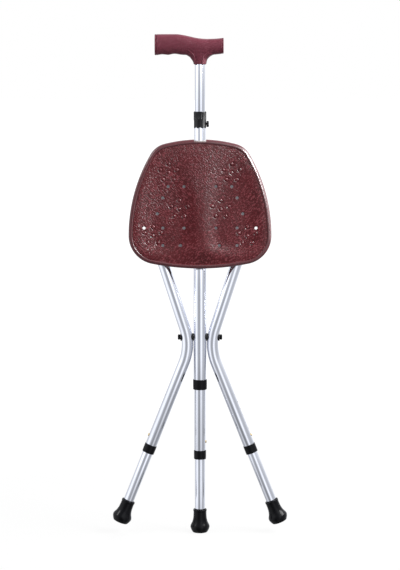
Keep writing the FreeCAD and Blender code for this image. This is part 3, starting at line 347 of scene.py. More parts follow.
def cloudedBy(tree, s):
    # the handled surface in a finish's own colour, shade and roughness
    return place(tree, handledSurfaceGroup, Colour=s["colour"], Shade=s["shade"], Scale=s["clouds"],
                 Amount=s["cloudiness"], GlossLow=s["gloss"][0], GlossHigh=s["gloss"][1])


def intoShader(tree, shader, colour, roughness, height, s):
    wire(tree, colour, shader.inputs["Base Color"])
    wire(tree, roughness, shader.inputs["Roughness"])
    bump = addNode(tree, "ShaderNodeBump")
    bump.inputs["Strength"].default_value = s["bump"]
    bump.inputs["Distance"].default_value = s["depth"]
    wire(tree, height, bump.inputs["Height"])
    wire(tree, bump.outputs["Normal"], shader.inputs["Normal"])


# in every finish gloss is its lowest and highest roughness, and depth the height of its grain in metres
anodisedSettings = {
    "colour": (0.77, 0.785, 0.84), "shade": (0.66, 0.675, 0.73), "gloss": (0.09, 0.16), "clouds": 25.0,
    "cloudiness": 0.3, "linesFrom": 0.35, "linesTo": 0.7, "lineTone": 0.25, "bump": 0.35, "depth": 0.00003,
}


def anodisedTube(name, lean):
    s = anodisedSettings
    material, tree, shader = newMaterial(name, metal=1.0)
    drawn = place(tree, drawnMetalGroup, Lean=lean)
    surface = cloudedBy(tree, s)
    tone = mapRange(tree, drawn["Lines"], s["linesFrom"], s["linesTo"], 0.0, s["lineTone"])
    streaked = mixColour(tree, tone, surface["Colour"], s["shade"])
    intoShader(tree, shader, streaked, surface["Roughness"], drawn["Height"], s)
    return material


# wine red mouldings with hide grain: the seat's sitting face, and the handle, a little lighter and finer; the
# grain's creases are drawn in the light colour as a painted highlight
grainedSettings = {
    "seatGrain": {"name": "seatGrain", "colour": (0.080, 0.006, 0.009), "shade": (0.056, 0.003, 0.005),
                  "light": (0.24, 0.055, 0.066), "shine": 0.2, "gloss": (0.29, 0.35), "clouds": 26.0,
                  "cloudiness": 0.7, "creaseHighlight": 0.7, "bump": 0.55, "depth": 0.0003, "grain": {}},
    "grip": {"name": "gripSkin", "colour": (0.132, 0.026, 0.042), "shade": (0.104, 0.017, 0.029),
             "light": (0.18, 0.058, 0.078), "shine": 0.16, "gloss": (0.32, 0.44), "clouds": 90.0,
             "cloudiness": 0.7, "creaseHighlight": 0.5, "bump": 0.5, "depth": 0.0004,
             "grain": {"Cells": 900.0, "Streaks": 520.0, "Lean": 0.5, "Height": 0.83}},
}


def grainedMoulding(s):
    material, tree, shader = newMaterial(s["name"], shine=s["shine"])
    surface = cloudedBy(tree, s)
    grain = place(tree, hideGrainGroup, **s["grain"])
    # the creases are mixed toward the light colour, a painted highlight where the grain would catch the lamps
    factor = mathNode(tree, "MULTIPLY", grain["Tone"], s["creaseHighlight"])
    highlighted = mixColour(tree, factor, surface["Colour"], s["light"])
    intoShader(tree, shader, highlighted, surface["Roughness"], grain["Height"], s)
    return material


moulded = {"metal": 0.0, "clouds": 60.0, "cloudiness": 0.5, "bump": 0.3}
bare = {"metal": 1.0, "clouds": 120.0, "cloudiness": 0.5, "bump": 0.2, "shine": 0.5, "pebbles": 700.0,
        "depth": 0.00002}
speckledSettings = {
    "seatSmooth": {"name": "seatSmooth", "colour": (0.090, 0.013, 0.018), "shade": (0.072, 0.009, 0.013),
                   "gloss": (0.26, 0.34), "pebbles": 1400.0, "depth": 0.0001, "shine": 0.5, "metal": 0.0,
                   "clouds": 26.0, "cloudiness": 0.7, "bump": 0.25},
    "collar": {**moulded, "name": "collarBlack", "colour": (0.002, 0.002, 0.003),
               "shade": (0.005, 0.005, 0.006), "gloss": (0.22, 0.34), "pebbles": 1300.0, "depth": 0.00005,
               "shine": 0.12},
    "clamp": {**moulded, "name": "clampCharcoal", "colour": (0.002, 0.002, 0.003),
              "shade": (0.006, 0.006, 0.007), "gloss": (0.28, 0.36), "pebbles": 1300.0, "depth": 0.00006,
              "shine": 0.3},
    "nylon": {**moulded, "name": "nylonBlack", "colour": (0.006, 0.006, 0.007),
              "shade": (0.012, 0.012, 0.013), "gloss": (0.42, 0.55), "pebbles": 900.0, "depth": 0.0001,
              "shine": 0.3},
    "slider": {**moulded, "name": "nylonPale", "colour": (0.55, 0.52, 0.51), "shade": (0.46, 0.43, 0.42),
               "gloss": (0.42, 0.55), "pebbles": 900.0, "depth": 0.0001, "shine": 0.4},
    "rubber": {**moulded, "name": "tipRubber", "colour": (0.002, 0.002, 0.003),
               "shade": (0.004, 0.004, 0.005), "gloss": (0.16, 0.30), "pebbles": 1500.0, "depth": 0.00004,
               "shine": 0.12},
    "brass": {**bare, "name": "buttonBrass", "colour": (0.62, 0.46, 0.20), "shade": (0.42, 0.30, 0.13),
              "gloss": (0.16, 0.3)},
    "steel": {**bare, "name": "zincSteel", "colour": (0.60, 0.60, 0.62), "shade": (0.45, 0.45, 0.47),
              "gloss": (0.2, 0.36)},
    "plate": {**bare, "name": "greySheet", "colour": (0.24, 0.23, 0.24), "shade": (0.17, 0.16, 0.17),
              "gloss": (0.32, 0.46)},
}


def speckledSkin(s):
    material, tree, shader = newMaterial(s["name"], s["metal"], s["shine"])
    surface = cloudedBy(tree, s)
    skin = place(tree, mouldSpeckleGroup, Scale=s["pebbles"])
    intoShader(tree, shader, surface["Colour"], surface["Roughness"], skin["Height"], s)
    return material


splay = math.radians(21.75)
materials = {
    "column": anodisedTube("anodisedColumn", 0.0),
    "left": anodisedTube("anodisedLeft", splay),
    "right": anodisedTube("anodisedRight", -splay),
}
for key, values in grainedSettings.items():
    materials[key] = grainedMoulding(values)
for key, values in speckledSettings.items():
    materials[key] = speckledSkin(values)
print("materials made:", len(materials))


# Mesh helpers

def newPiece(name, vertices, faces, material, smooth=True):
    mesh = bpy.data.meshes.new(name)
    mesh.from_pydata([tuple(v) for v in vertices], [], faces)
    mesh.validate()
    if smooth:
        mesh.polygons.foreach_set("use_smooth", [True] * len(mesh.polygons))
    mesh.materials.append(material)
    piece = bpy.data.objects.new(name, mesh)
    scene.collection.objects.link(piece)
    return piece


def applyModifiers(piece):
    # the modifiers become part of the mesh
    graph = bpy.context.evaluated_depsgraph_get()
    mesh = bpy.data.meshes.new_from_object(piece.evaluated_get(graph))
    piece.modifiers.clear()
    piece.data = mesh


weldDistance = 0.01 * mm


def cleanMesh(piece):
    # doubled points are welded and all faces turned outward
    edit = bmesh.new()
    edit.from_mesh(piece.data)
    bmesh.ops.remove_doubles(edit, verts=edit.verts, dist=weldDistance)
    bmesh.ops.recalc_face_normals(edit, faces=edit.faces)
    edit.to_mesh(piece.data)
    edit.free()


# the angle in degrees past which an edge stays crisp, by how a piece is made
crispAngles = {"cut": 38, "turned": 50, "block": 35, "cap": 40}


def sharpenByAngle(piece, kind="cut"):
    # edges sharper than the kind's angle stay crisp and the rest look smooth
    edit = bmesh.new()
    edit.from_mesh(piece.data)
    limit = math.radians(crispAngles[kind])
    for edge in edit.edges:
        if len(edge.link_faces) == 2:
            edge.smooth = edge.calc_face_angle(0.0) < limit
    edit.to_mesh(piece.data)
    edit.free()


def standIn(piece, body, node):
    # a made piece rides on its body in place of a CAD node
    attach(piece, body)
    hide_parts(node)


def roundedProfile(corners, steps=4):
    # a profile from (radius, height, rounding) corners, each rounded one turned into an arc
    points = []
    count = len(corners)
    for i, (r, z, rounding) in enumerate(corners):
        here = Vector((r, z))
        if rounding <= 0:
            points.append(here)
            continue
        before = Vector(corners[(i - 1) % count][:2]) - here
        after = Vector(corners[(i + 1) % count][:2]) - here
        reach = min(rounding, before.length * 0.49, after.length * 0.49)  # two arcs never meet on an edge
        start, end = here + before.normalized() * reach, here + after.normalized() * reach
        for k in range(steps + 1):
            t = k / steps
            points.append(start * (1 - t) ** 2 + here * (2 * t * (1 - t)) + end * t ** 2)
    return points


def lathe(name, profile, material, axis=(0, 0, 1), origin=(0, 0, 0), around=96, shape=None):
    # turns a closed profile of (radius, height) about an axis; a shape(angle, radius, height) may move
    # each point
    turn = Vector((0, 0, 1)).rotation_difference(Vector(axis))
    start = Vector(origin)
    vertices, faces = [], []
    rows = len(profile)
    for i in range(around):
        angle = 2 * math.pi * i / around
        for point in profile:
            r, z = shape(angle, *point) if shape else point
            vertices.append(start + turn @ Vector((r * math.cos(angle), r * math.sin(angle), z)))
    for i in range(around):
        here, there = i * rows, (i + 1) % around * rows
        faces += [(here + j, there + j, there + (j + 1) % rows, here + (j + 1) % rows) for j in range(rows)]
    piece = newPiece(name, vertices, faces, material)
    cleanMesh(piece)
    return piece


def span(node, axis):
    # the low end, length and radius of a round CAD piece along an axis in the X-Z plane
    axis = Vector(axis).normalized()
    across = axis.cross(Vector((0, 1, 0))).normalized()
    other = axis.cross(across)
    corners = [v.co for v in nodes[node].data.vertices]
    ranges = [(min(c.dot(d) for c in corners), max(c.dot(d) for c in corners)) for d in (axis, across, other)]
    (low, high), (aLow, aHigh), (bLow, bHigh) = ranges
    base = axis * low + across * (aLow + aHigh) / 2 + other * (bLow + bHigh) / 2
    return base, high - low, (bHigh - bLow) / 2


def middleOf(node):
    low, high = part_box(node)
    return [(a + b) / 2 for a, b in zip(low, high)]


upward, rightward = Vector((0, 0, 1)), Vector((1, 0, 0))
sideAxis = {
    "centre": upward,
    "left": Vector((math.sin(splay), 0, math.cos(splay))),
    "right": Vector((-math.sin(splay), 0, math.cos(splay))),
}
innerTube = span("handle_tube", upward)[2]
columnTube = span("column_tube", upward)[2]
boltHeight = middleOf("pivot_bolt")[2]
studHeight = middleOf("lock_knob")[2]
hingeHeight = middleOf("seat_hinge_pins")[2]


# Rubber tips

tipSettings = {
    "neck": 0.677,  # radii of the neck and the sole as shares of the bell's
    "sole": 0.755,
    # shares of the sole's, bell's or neck's radius, with height and rounding in millimetres
    "treads": ((0.34, 0, 0), (0.36, 1.2, 0.3), (0.42, 1.2, 0.3), (0.44, 0, 0.3), (0.68, 0, 0.3),
               (0.70, 1.2, 0.3), (0.76, 1.2, 0.3), (0.78, 0, 0.3), (1.0, 0, 1.2)),
    "bell": ((0.93, 5.2, 2.0), (1.0, 9.4, 2.2), (0.955, 12.5, 3.0)),
    "waist": ((1.13, 18.8, 5.0), (1.0, 26.5, 6.0)),
    # the same with heights measured down from the neck's end
    "bead": ((0.985, 4.6, 3.0), (1.035, 2.6, 1.0), (1.02, 0.3, 0.8)),
    "mouth": 1.6 * mm,
    "mouthRound": 0.6 * mm,
    "mouthDepth": 1.8 * mm,
    "tubeGap": 0.03 * mm,
    "boreFloor": 0.3,  # as a share of the length
    "axisGap": 0.4 * mm,
    "lobes": 6,
    "lobeSwell": 0.006,
    "lobeHeight": 9.4 * mm,
    "lobeReach": 8.0 * mm,
    "around": 96,
    "cornerSteps": 5,
}


def makeTip(prefix):
    s = tipSettings
    base, length, bell = span(f"{prefix}_tip", sideAxis[prefix])
    bore = span(f"{prefix}_foot_tube", sideAxis[prefix])[2] + s["tubeGap"]
    neck, sole = bell * s["neck"], bell * s["sole"]
    corners = [(s["axisGap"], 0.0, 0)]
    for radius, key in ((sole, "treads"), (bell, "bell"), (neck, "waist")):
        corners += [(radius * share, height * mm, rounding * mm) for share, height, rounding in s[key]]
    corners += [(neck * share, length - height * mm, rounding * mm) for share, height, rounding in s["bead"]]
    floor = length * s["boreFloor"]
    corners += [(bore + s["mouth"], length, s["mouthRound"]),
                (bore, length - s["mouthDepth"], s["mouthRound"]), (bore, floor, 0), (s["axisGap"], floor, 0)]

    def lobes(angle, r, z):
        flare = max(0.0, 1 - abs(z - s["lobeHeight"]) / s["lobeReach"])
        return r * (1 + s["lobeSwell"] * flare * math.cos(s["lobes"] * angle)), z

    profile = roundedProfile(corners, s["cornerSteps"])
    axis = sideAxis[prefix]
    tip = lathe(f"{prefix}RubberTip", profile, materials["rubber"], axis, base, s["around"], lobes)
    sharpenByAngle(tip, "turned")
    standIn(tip, f"{prefix}_foot", f"{prefix}_tip")


for prefix in ("centre", "left", "right"):
    makeTip(prefix)
print("rubber tips made")


# Black collars on the tube ends

collarSettings = {
    "lipRound": 1.6 * mm,
    "rimRound": 0.7 * mm,
    "innerRound": 0.5 * mm,
    "bellyRound": 4.0 * mm,
    "lipGap": 0.3 * mm,  # round the tube that comes out of the lip
    "lipHeight": 2.0 * mm,
    "wall": 1.45 * mm,
    "lipShare": 0.985,  # radii of the lip and the rim as shares of the belly's
    "rimShare": 0.99,
    "seamFrom": 0.5 * mm,  # outside the bore, so that only the outer side has the seam
    "seamDepth": 0.25 * mm,
    "seamWidth": 0.03,
    "around": 120,
}


def makeCollar(node, body, side, inner, downward=True):
    s = collarSettings
    axis = sideAxis[side] if downward else -sideAxis[side]
    base, length, radius = span(node, axis)
    lip, tube = inner + s["lipGap"], radius - s["wall"]
    corners = [(lip, 0, s["innerRound"]), (radius * s["lipShare"], 0, s["lipRound"]),
               (radius, length / 2, s["bellyRound"]), (radius * s["rimShare"], length, s["rimRound"]),
               (tube, length, s["innerRound"]), (tube, s["lipHeight"], 0), (lip, s["lipHeight"], 0)]

    def seam(angle, r, z):
        if math.cos(angle) <= 0 or r <= tube + s["seamFrom"]:
            return r, z
        return r - s["seamDepth"] * max(0.0, 1 - abs(math.sin(angle)) / s["seamWidth"]), z

    profile = roundedProfile(corners)
    collar = lathe(f"{node}Moulded", profile, materials["collar"], axis, base, s["around"], seam)
    sharpenByAngle(collar, "turned")
    standIn(collar, body, node)


makeCollar("column_end_collar", "column", "centre", innerTube)
makeCollar("sleeve_bottom_collar", "column", "centre", columnTube)
makeCollar("sleeve_top_collar", "column", "centre", columnTube, downward=False)
makeCollar("left_leg_collar", "left_leg", "left", innerTube)
makeCollar("right_leg_collar", "right_leg", "right", innerTube)
print("collars made")


# Seat: a moulded plate with a rounded rim, a grained field with two hollows, nubs and vents, and a skirt

plateLow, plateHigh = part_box("seat_backing_plate")

seatSettings = {
    "top": hingeHeight + 7.2 * mm,
    "front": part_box("seat_shell")[0].y,
    "underside": plateLow.y,
    "skirtBack": -12.0 * mm,
    # the edge from the top's middle down: arcs of these radii, and the turns where each begins and ends
    "radii": (245.0 * mm, 37.9 * mm, 274.0 * mm, 48.8 * mm),
    "turns": (0, 14.3, 59.7, 90, 168.6, 180),
    "arcSteps": (26, 16, 34, 26, 30),
    "wall": 3.2 * mm,
    "edgeRound": 4.6 * mm,
    "roundSteps": 8,
    "rimWidth": 6.4 * mm,
    "creaseWidth": 0.9 * mm,
    "creaseDepth": 1.3 * mm,
    "creaseLead": 0.5 * mm,  # from the end of the rim's crown to the crease
    "creaseShallow": 0.25,  # share of the crease's depth at the rim's width
    "creaseMiddle": 0.4,  # share of the crease's width where it is deepest
    "fieldDrop": 0.6 * mm,
    # the inset and the height before the skirt's edge, on its outside and inside, and the same at its root
    "skirtOutside": ((0.0, 0.9), (0.3, 0.25), (0.9, 0.0)),
    "skirtInside": ((0.9, 0.0), (0.25, 0.25), (0.0, 0.9)),
    "skirtRoot": ((0.0, 1.6), (0.5, 0.4), (1.6, 0.0)),
    "gridStep": 2.4 * mm,
    "gridClearance": 1.3 * mm,
    "backStep": 12.0 * mm,
    "backClearance": 4.0 * mm,
    "ventRadius": 2.6 * mm,
    "ventBevel": 0.5 * mm,
    "ventSides": 20,
    "nubRadius": 3.0 * mm,
    "nubHeight": 1.2 * mm,
    "nubGroove": 0.3 * mm,
    "grooveAt": 1.12,  # where the groove lies and how far it reaches, in radii of the nub
    "grooveReach": 0.2,
    "nubSpread": 14.8 * mm,
    # rings of points on a nub, as shares of its radius, and how many points each has
    "nubRings": ((0.3, 6), (0.6, 10), (0.82, 14), (0.94, 18), (1.0, 18), (1.12, 18), (1.32, 18)),
    # drops below the seat's top with distances from the middle, in millimetres
    "ventRows": ((79.6, (27, 54)), (98.9, (63,)), (126.0, (72.5,)), (150.2, (27, 63, 95)), (180.0, (33, 63))),
    "nubClusters": ((55.9, 53.4), (118.0, 35.0), (163.2, 80.0)),
}

hollowSettings = {
    "depth": 3.6 * mm,
    "middle": 52.0 * mm,
    "drop": 160.0 * mm,
    "inward": 50.0 * mm,
    "outward": 60.0 * mm,
    "upward": 142.0 * mm,
    "downward": 45.0 * mm,
    "power": 2.3,
    "floorShare": 0.36,
    "lipDepth": 3.2 * mm,
    "lipWidth": 62.0 * mm,
    "lipReach": 26.0 * mm,
    "crestHeight": 0.6 * mm,
    "crestWidth": 22.0 * mm,
    "edge": 1.02,
    "fadeInset": 24.0 * mm,  # where the rim has no more say
}


def seatRing(inset):
    # the seat's edge shrunk by an inset, as points across and up; every inset gives as many points
    s = seatSettings
    top, shoulder, side, hip = [radius - inset for radius in s["radii"]]
    turns = [math.radians(t) for t in s["turns"]]
    sines = [math.sin(t) for t in turns]
    reach = top * sines[1] + shoulder * (sines[2] - sines[1]) + side * (1 - sines[2]) - hip * (1 - sines[4])
    x, z = 0.0, s["top"] - inset
    half = []
    for i, radius in enumerate((top, shoulder, side, hip, reach / sines[4])):
        middle = Vector((x - radius * sines[i], z - radius * math.cos(turns[i])))
        for k in range(s["arcSteps"][i] + (i == 4)):
            turn = turns[i] + (turns[i + 1] - turns[i]) * k / s["arcSteps"][i]
            half.append(middle + radius * Vector((math.sin(turn), math.cos(turn))))
        x, z = middle.x + radius * sines[i + 1], middle.y + radius * math.cos(turns[i + 1])
    return half + [Vector((-p.x, p.y)) for p in reversed(half[1:-1])]


def circlePoints(middle, radius, count):
    turns = [2 * math.pi * k / count for k in range(count)]
    return [Vector((middle.x + radius * math.cos(t), middle.y + radius * math.sin(t))) for t in turns]


def pointTree(points):
    tree = KDTree(len(points))
    for i, point in enumerate(points):
        tree.insert((point.x, point.y, 0), i)
    tree.balance()
    return tree


def nearest(tree, point):
    return tree.find((point.x, point.y, 0))[2]


def smoothStep(low, high, value):
    t = min(max((value - low) / (high - low), 0.0), 1.0)
    return t * t * (3 - 2 * t)


def fillSheet(ring, holes, details, step, clearance):
    # triangles inside a round outline, with holes left open and an even scatter of points between
    points, edges = [], []
    for loop in [ring] + holes:
        start = len(points)
        points += loop
        edges += [(start + i, start + (i + 1) % len(loop)) for i in range(len(loop))]
    points += details
    taken = pointTree(points)
    edgeTree = pointTree(ring)
    heart = sum(ring, Vector((0, 0))) / len(ring)
    rowStep = step * math.sqrt(3) / 2
    holeMiddles = [(sum(hole, Vector((0, 0))) / len(hole), (hole[0] - hole[len(hole) // 2]).length / 2)
                   for hole in holes]
    low = Vector((min(p.x for p in ring), min(p.y for p in ring)))
    high = Vector((max(p.x for p in ring), max(p.y for p in ring)))
    for row in range(int((high.y - low.y) / rowStep) + 1):
        for column in range(int((high.x - low.x) / step) + 1):
            spot = Vector((low.x + (column + 0.5 * (row % 2)) * step, low.y + row * rowStep))
            if nearest(taken, spot) < clearance or any((spot - m).length < r for m, r in holeMiddles):
                continue
            edgePoint = ring[edgeTree.find((spot.x, spot.y, 0))[1]]
            if (spot - edgePoint).dot(heart - edgePoint) > 0:
                points.append(spot)
    outline = [tuple(range(len(ring)))]
    insideOnly, tolerance = 1, 1e-7
    found, _, faces = delaunay_2d_cdt(points, edges, outline, insideOnly, tolerance)[:3]
    holeOf = {}
    start = len(ring)
    for i, hole in enumerate(holes):
        holeOf.update({start + k: i for k in range(len(hole))})
        start += len(hole)

    def fillsHole(face):
        return face[0] in holeOf and len({holeOf.get(i) for i in face}) == 1

    return found, [tuple(face) for face in faces if not fillsHole(face)]


class SheetMesh:
    # collects the rings and sheets of one closed mesh, with a material number for each face

    def __init__(self):
        self.vertices, self.faces, self.skins = [], [], []

    def ring(self, points, depth):
        # points across and up at a depth, which may be a number or a function of the point
        start = len(self.vertices)
        for p in points:
            self.vertices.append(Vector((p.x, depth(p) if callable(depth) else depth, p.y)))
        return list(range(start, len(self.vertices)))

    def bridge(self, one, two, skin=0):
        for i in range(len(one)):
            j = (i + 1) % len(one)
            self.faces.append((one[i], one[j], two[j], two[i]))
            self.skins.append(skin)

    def sheet(self, points, faces, depth, skin=0):
        indices = self.ring(points, depth)
        for face in faces:
            self.faces.append(tuple(indices[i] for i in face))
            self.skins.append(skin)
        return indices

    def build(self, name, skins):
        piece = newPiece(name, self.vertices, self.faces, skins[0])
        for extra in skins[1:]:
            piece.data.materials.append(extra)
        piece.data.polygons.foreach_set("material_index", self.skins)
        cleanMesh(piece)
        sharpenByAngle(piece)
        return piece


seatEdge = seatRing(0.0)
seatBottom = min(p.y for p in seatEdge)
edgeParts = 6  # of each stretch between two of its points
seatEdgeTree = pointTree([a.lerp(b, k / edgeParts) for a, b in zip(seatEdge, seatEdge[1:] + seatEdge[:1])
                          for k in range(edgeParts)])


def hollowDepth(p):
    # how far the sitting face lies behind the rim's crown, without the nubs
    s, h = seatSettings, hollowSettings
    fade = smoothStep(s["rimWidth"], h["fadeInset"], nearest(seatEdgeTree, p))
    across = abs(p.x) - h["middle"]
    up = p.y - (s["top"] - h["drop"])
    u = abs(across) / (h["outward"] if across > 0 else h["inward"])
    v = abs(up) / (h["upward"] if up > 0 else h["downward"])
    reach = (u ** h["power"] + v ** h["power"]) ** (1 / h["power"])
    hollow = h["depth"] * (1 - smoothStep(h["floorShare"], h["edge"], reach)) * fade
    above = p.y - seatBottom - s["rimWidth"]
    lip = h["lipDepth"] * math.exp(-(p.x / h["lipWidth"]) ** 2) * (1 - smoothStep(0, h["lipReach"], above))
    crest = h["crestHeight"] * math.exp(-(p.x / h["crestWidth"]) ** 2) * fade
    return s["fieldDrop"] + hollow + lip - crest


def seatSpots():
    # the middles of the vents and of the nubs; a cluster is a nub with five round it
    s = seatSettings
    vents = [Vector((side * x * mm, s["top"] - drop * mm)) for drop, places in s["ventRows"] for x in places
             for side in (-1, 1)]
    nubs = []
    for drop, across in s["nubClusters"]:
        for side in (-1, 1):
            middle = Vector((side * across * mm, s["top"] - drop * mm))
            nubs.append(middle)
            nubs += [middle + s["nubSpread"] * Vector((math.sin(t), math.cos(t)))
                     for t in (math.radians(72 * k) for k in range(5))]
    return vents, nubs


# behind the seat: ribs, hinge ears and the notch for the open column
backSettings = {
    "ribThickness": 2.5 * mm,
    "ribDepth": 8.0 * mm,
    "ribRound": 0.5 * mm,
    "ribSink": 0.4 * mm,  # how far ribs and ears reach into the plate
    "lowerRibs": (16.0 * mm, 46.0 * mm),
    "upperRib": 26.0 * mm,
    "waist": 110.0 * mm,  # below the seat's top, between the skirt's lower and upper half
    "plateGap": 0.3 * mm,
    "earThickness": 4.0 * mm,
    "earRadius": 5.5 * mm,
    "earFoot": 2.0 * mm,
    "earHead": 1.8 * mm,  # of the hinge pin, outside the ear
    "notchClearance": 0.4 * mm,
    "notchDrop": 2.4 * mm,
    "notchRound": 1.4 * mm,
    "notchMargin": 2.0 * mm,
}


def prism(name, outline, low, high, material, flat="x", rounding=0.0):
    # a block from an outline of two coordinates, thick along x or z, with its edges rounded
    spot = {"x": lambda a, b, w: (w, a, b), "z": lambda a, b, w: (a, b, w)}[flat]
    count = len(outline)
    vertices = [spot(a, b, low) for a, b in outline] + [spot(a, b, high) for a, b in outline]
    faces = [tuple(range(count)), tuple(range(2 * count - 1, count - 1, -1))]
    faces += [(i, i + count, (i + 1) % count + count, (i + 1) % count) for i in range(count)]
    piece = newPiece(name, vertices, faces, material)
    cleanMesh(piece)
    if rounding:
        bevel = piece.modifiers.new("round", "BEVEL")
        bevel.width = rounding
        bevel.segments = 2
        bevel.limit_method = "ANGLE"
        applyModifiers(piece)
    sharpenByAngle(piece, "block")
    return piece


def carve(piece, cutter):
    cut = piece.modifiers.new("cut", "BOOLEAN")
    cut.operation = "DIFFERENCE"
    cut.object = cutter
    cut.solver = "EXACT"
    applyModifiers(piece)
    bpy.data.objects.remove(cutter)
    sharpenByAngle(piece)


def joinInto(piece, parts):
    # the meshes of parts become part of a piece and keep their materials
    edit = bmesh.new()
    edit.from_mesh(piece.data)
    for part in parts:
        mesh = part.data
        for material in mesh.materials:
            if material not in list(piece.data.materials):
                piece.data.materials.append(material)
        slots = [list(piece.data.materials).index(m) for m in mesh.materials]
        before = len(edit.faces)
        edit.from_mesh(mesh)
        edit.faces.ensure_lookup_table()
        for face in edit.faces[before:]:
            face.material_index = slots[face.material_index]
        bpy.data.objects.remove(part)
    edit.to_mesh(piece.data)
    edit.free()


def notchCutter():
    # the room for the column when the stool is open, with its lower corners rounded
    s, b = seatSettings, backSettings
    tilt = math.radians(next(j for j in frame["joints"] if j["name"] == "legs_open")["range_deg"][1])
    reach = columnTube + b["notchClearance"]
    nearDepth, farDepth = -s["skirtBack"] - b["notchMargin"], -s["front"] + b["notchMargin"]

    def floorAt(depth):
        return hingeHeight + depth / math.tan(tilt) - reach / math.sin(tilt) - b["notchDrop"]

    head = s["top"] + 2 * b["notchMargin"]
    corners = [(-nearDepth, floorAt(nearDepth)), (-farDepth, floorAt(farDepth)), (-farDepth, head),
               (-nearDepth, head)]
    return prism("notchCutter", corners, -reach, reach, materials["seatSmooth"], rounding=b["notchRound"])


def addRibs(seat):
    s, b = seatSettings, backSettings
    edge = seatRing(s["wall"] * 0.5)
    waist = s["top"] - b["waist"]
    half = b["ribThickness"] / 2
    front, back = s["underside"] - b["ribSink"], s["underside"] + b["ribDepth"]
    parts = []

    def edgeHeight(x, lower):
        # where the skirt runs over or under a place across
        return min((p for p in edge if (p.y <= waist) == lower), key=lambda p: abs(p.x - x)).y

    for side in (-1, 1):
        spans = [(side * x, edgeHeight(side * x, True), plateLow.z - b["plateGap"]) for x in b["lowerRibs"]]
        upper = side * b["upperRib"]
        spans.append((upper, plateHigh.z + b["plateGap"], edgeHeight(upper, False)))
        for x, low, high in spans:
            outline = [(front, low), (back, low), (back, high), (front, high)]
            parts.append(prism("rib", outline, x - half, x + half, materials["seatSmooth"],
                               rounding=b["ribRound"]))
        r = b["earRadius"]
        turns = [math.radians(-90 + 15 * k) for k in range(13)]
        outline = [(front, hingeHeight - r - b["earFoot"])]
        outline += [(r * math.cos(t), hingeHeight + r * math.sin(t)) for t in turns]
        outline.append((front, hingeHeight + r))
        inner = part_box("seat_hinge_pins")[1].x - b["earHead"] - b["earThickness"]
        low, high = sorted((side * inner, side * (inner + b["earThickness"])))
        parts.append(prism("ear", outline, low, high, materials["seatSmooth"], rounding=b["ribRound"]))
    joinInto(seat, parts)


def makeSeat():
    s = seatSettings
    vents, nubs = seatSpots()
    nubTree = pointTree(nubs)
    mesh = SheetMesh()

    def face(p):
        d = nearest(nubTree, p) / s["nubRadius"]
        nub = s["nubHeight"] * math.sqrt(1 - d ** 3) if d < 1 else 0.0
        groove = s["nubGroove"] * max(0.0, 1 - abs(d - s["grooveAt"]) / s["grooveReach"])
        return s["front"] + hollowDepth(p) - nub + groove

    # the rounded edge from the side to the rim's crown, and then the crease between rim and field
    turns = [math.pi / 2 * k / s["roundSteps"] for k in range(s["roundSteps"] + 1)]
    r = s["edgeRound"]
    rows = [(r * (1 - math.cos(t)), s["front"] + r * (1 - math.sin(t))) for t in turns]
    fieldInset = s["rimWidth"] + s["creaseWidth"]
    rows += [(s["rimWidth"] - s["creaseLead"], s["front"]),
             (s["rimWidth"], s["front"] + s["creaseShallow"] * s["creaseDepth"]),
             (s["rimWidth"] + s["creaseMiddle"] * s["creaseWidth"], s["front"] + s["creaseDepth"]),
             (fieldInset, lambda p: s["front"] + hollowDepth(p))]
    frontRings = [mesh.ring(seatRing(inset), depth) for inset, depth in rows]
    for one, two in zip(frontRings, frontRings[1:]):
        mesh.bridge(two, one)

    wall, back = s["wall"], s["skirtBack"]
    behind = [(inset * mm, back - before * mm) for inset, before in s["skirtOutside"]]
    behind += [(wall - inset * mm, back - before * mm) for inset, before in s["skirtInside"]]
    behind += [(wall + inset * mm, s["underside"] + height * mm) for inset, height in s["skirtRoot"]]
    backRings = [frontRings[0]] + [mesh.ring(seatRing(inset), depth) for inset, depth in behind]
    for one, two in zip(backRings, backRings[1:]):
        mesh.bridge(one, two)

    sides = s["ventSides"]
    details = []
    for nub in nubs:
        details.append(nub)
        for share, count in s["nubRings"]:
            details += circlePoints(nub, s["nubRadius"] * share, count)
    wideHoles = [circlePoints(v, s["ventRadius"] + s["ventBevel"], sides) for v in vents]
    points, faces = fillSheet(seatRing(fieldInset), wideHoles, details, s["gridStep"], s["gridClearance"])
    front = mesh.sheet(points, faces, face, 1)
    holes = [circlePoints(v, s["ventRadius"], sides) for v in vents]
    points, faces = fillSheet(seatRing(behind[-1][0]), holes, [], s["backStep"], s["backClearance"])
    rear = mesh.sheet(points, faces, s["underside"])
    ringCount = len(frontRings[0])
    for i, hole in enumerate(holes):
        at = slice(ringCount + i * sides, ringCount + (i + 1) * sides)
        throat = mesh.ring(hole, s["front"] + hollowDepth(vents[i]) + s["ventBevel"])
        mesh.bridge(front[at], throat, 1)
        mesh.bridge(throat, rear[at])
    seat = mesh.build("seatMoulding", [materials["seatSmooth"], materials["seatGrain"]])
    carve(seat, notchCutter())
    addRibs(seat)
    standIn(seat, "seat", "seat_shell")
    print("seat made:", len(seat.data.vertices), "points")


makeSeat()


# Tubes with their button holes and bolt holes

def loft(name, rings, material, tubular=False):
    # a skin through rings of equal counts: a solid with two ends, or a tube that closes on its first ring
    count = len(rings[0])
    vertices = [point for ring in rings for point in ring]
    faces = []
    for i in range(len(rings) if tubular else len(rings) - 1):
        here, there = i * count, (i + 1) % len(rings) * count
        faces += [(here + k, here + (k + 1) % count, there + (k + 1) % count, there + k)
                  for k in range(count)]
    if not tubular:
        last = len(vertices) - 1
        faces += [tuple(range(count)), tuple(range(last, last - count, -1))]
    piece = newPiece(name, vertices, faces, material)
    cleanMesh(piece)
    return piece


drillSides = 40


def rod(start, axis, radius, length):
    profile = [(0, 0), (radius, 0), (radius, length), (0, length)]
    return lathe("rod", profile, materials["steel"], axis, start, drillSides)


def drill(piece, holes):
    # each hole is a rod's start, axis, radius and length
    rods = [rod(*hole) for hole in holes]
    joinInto(rods[0], rods[1:])
    carve(piece, rods[0])


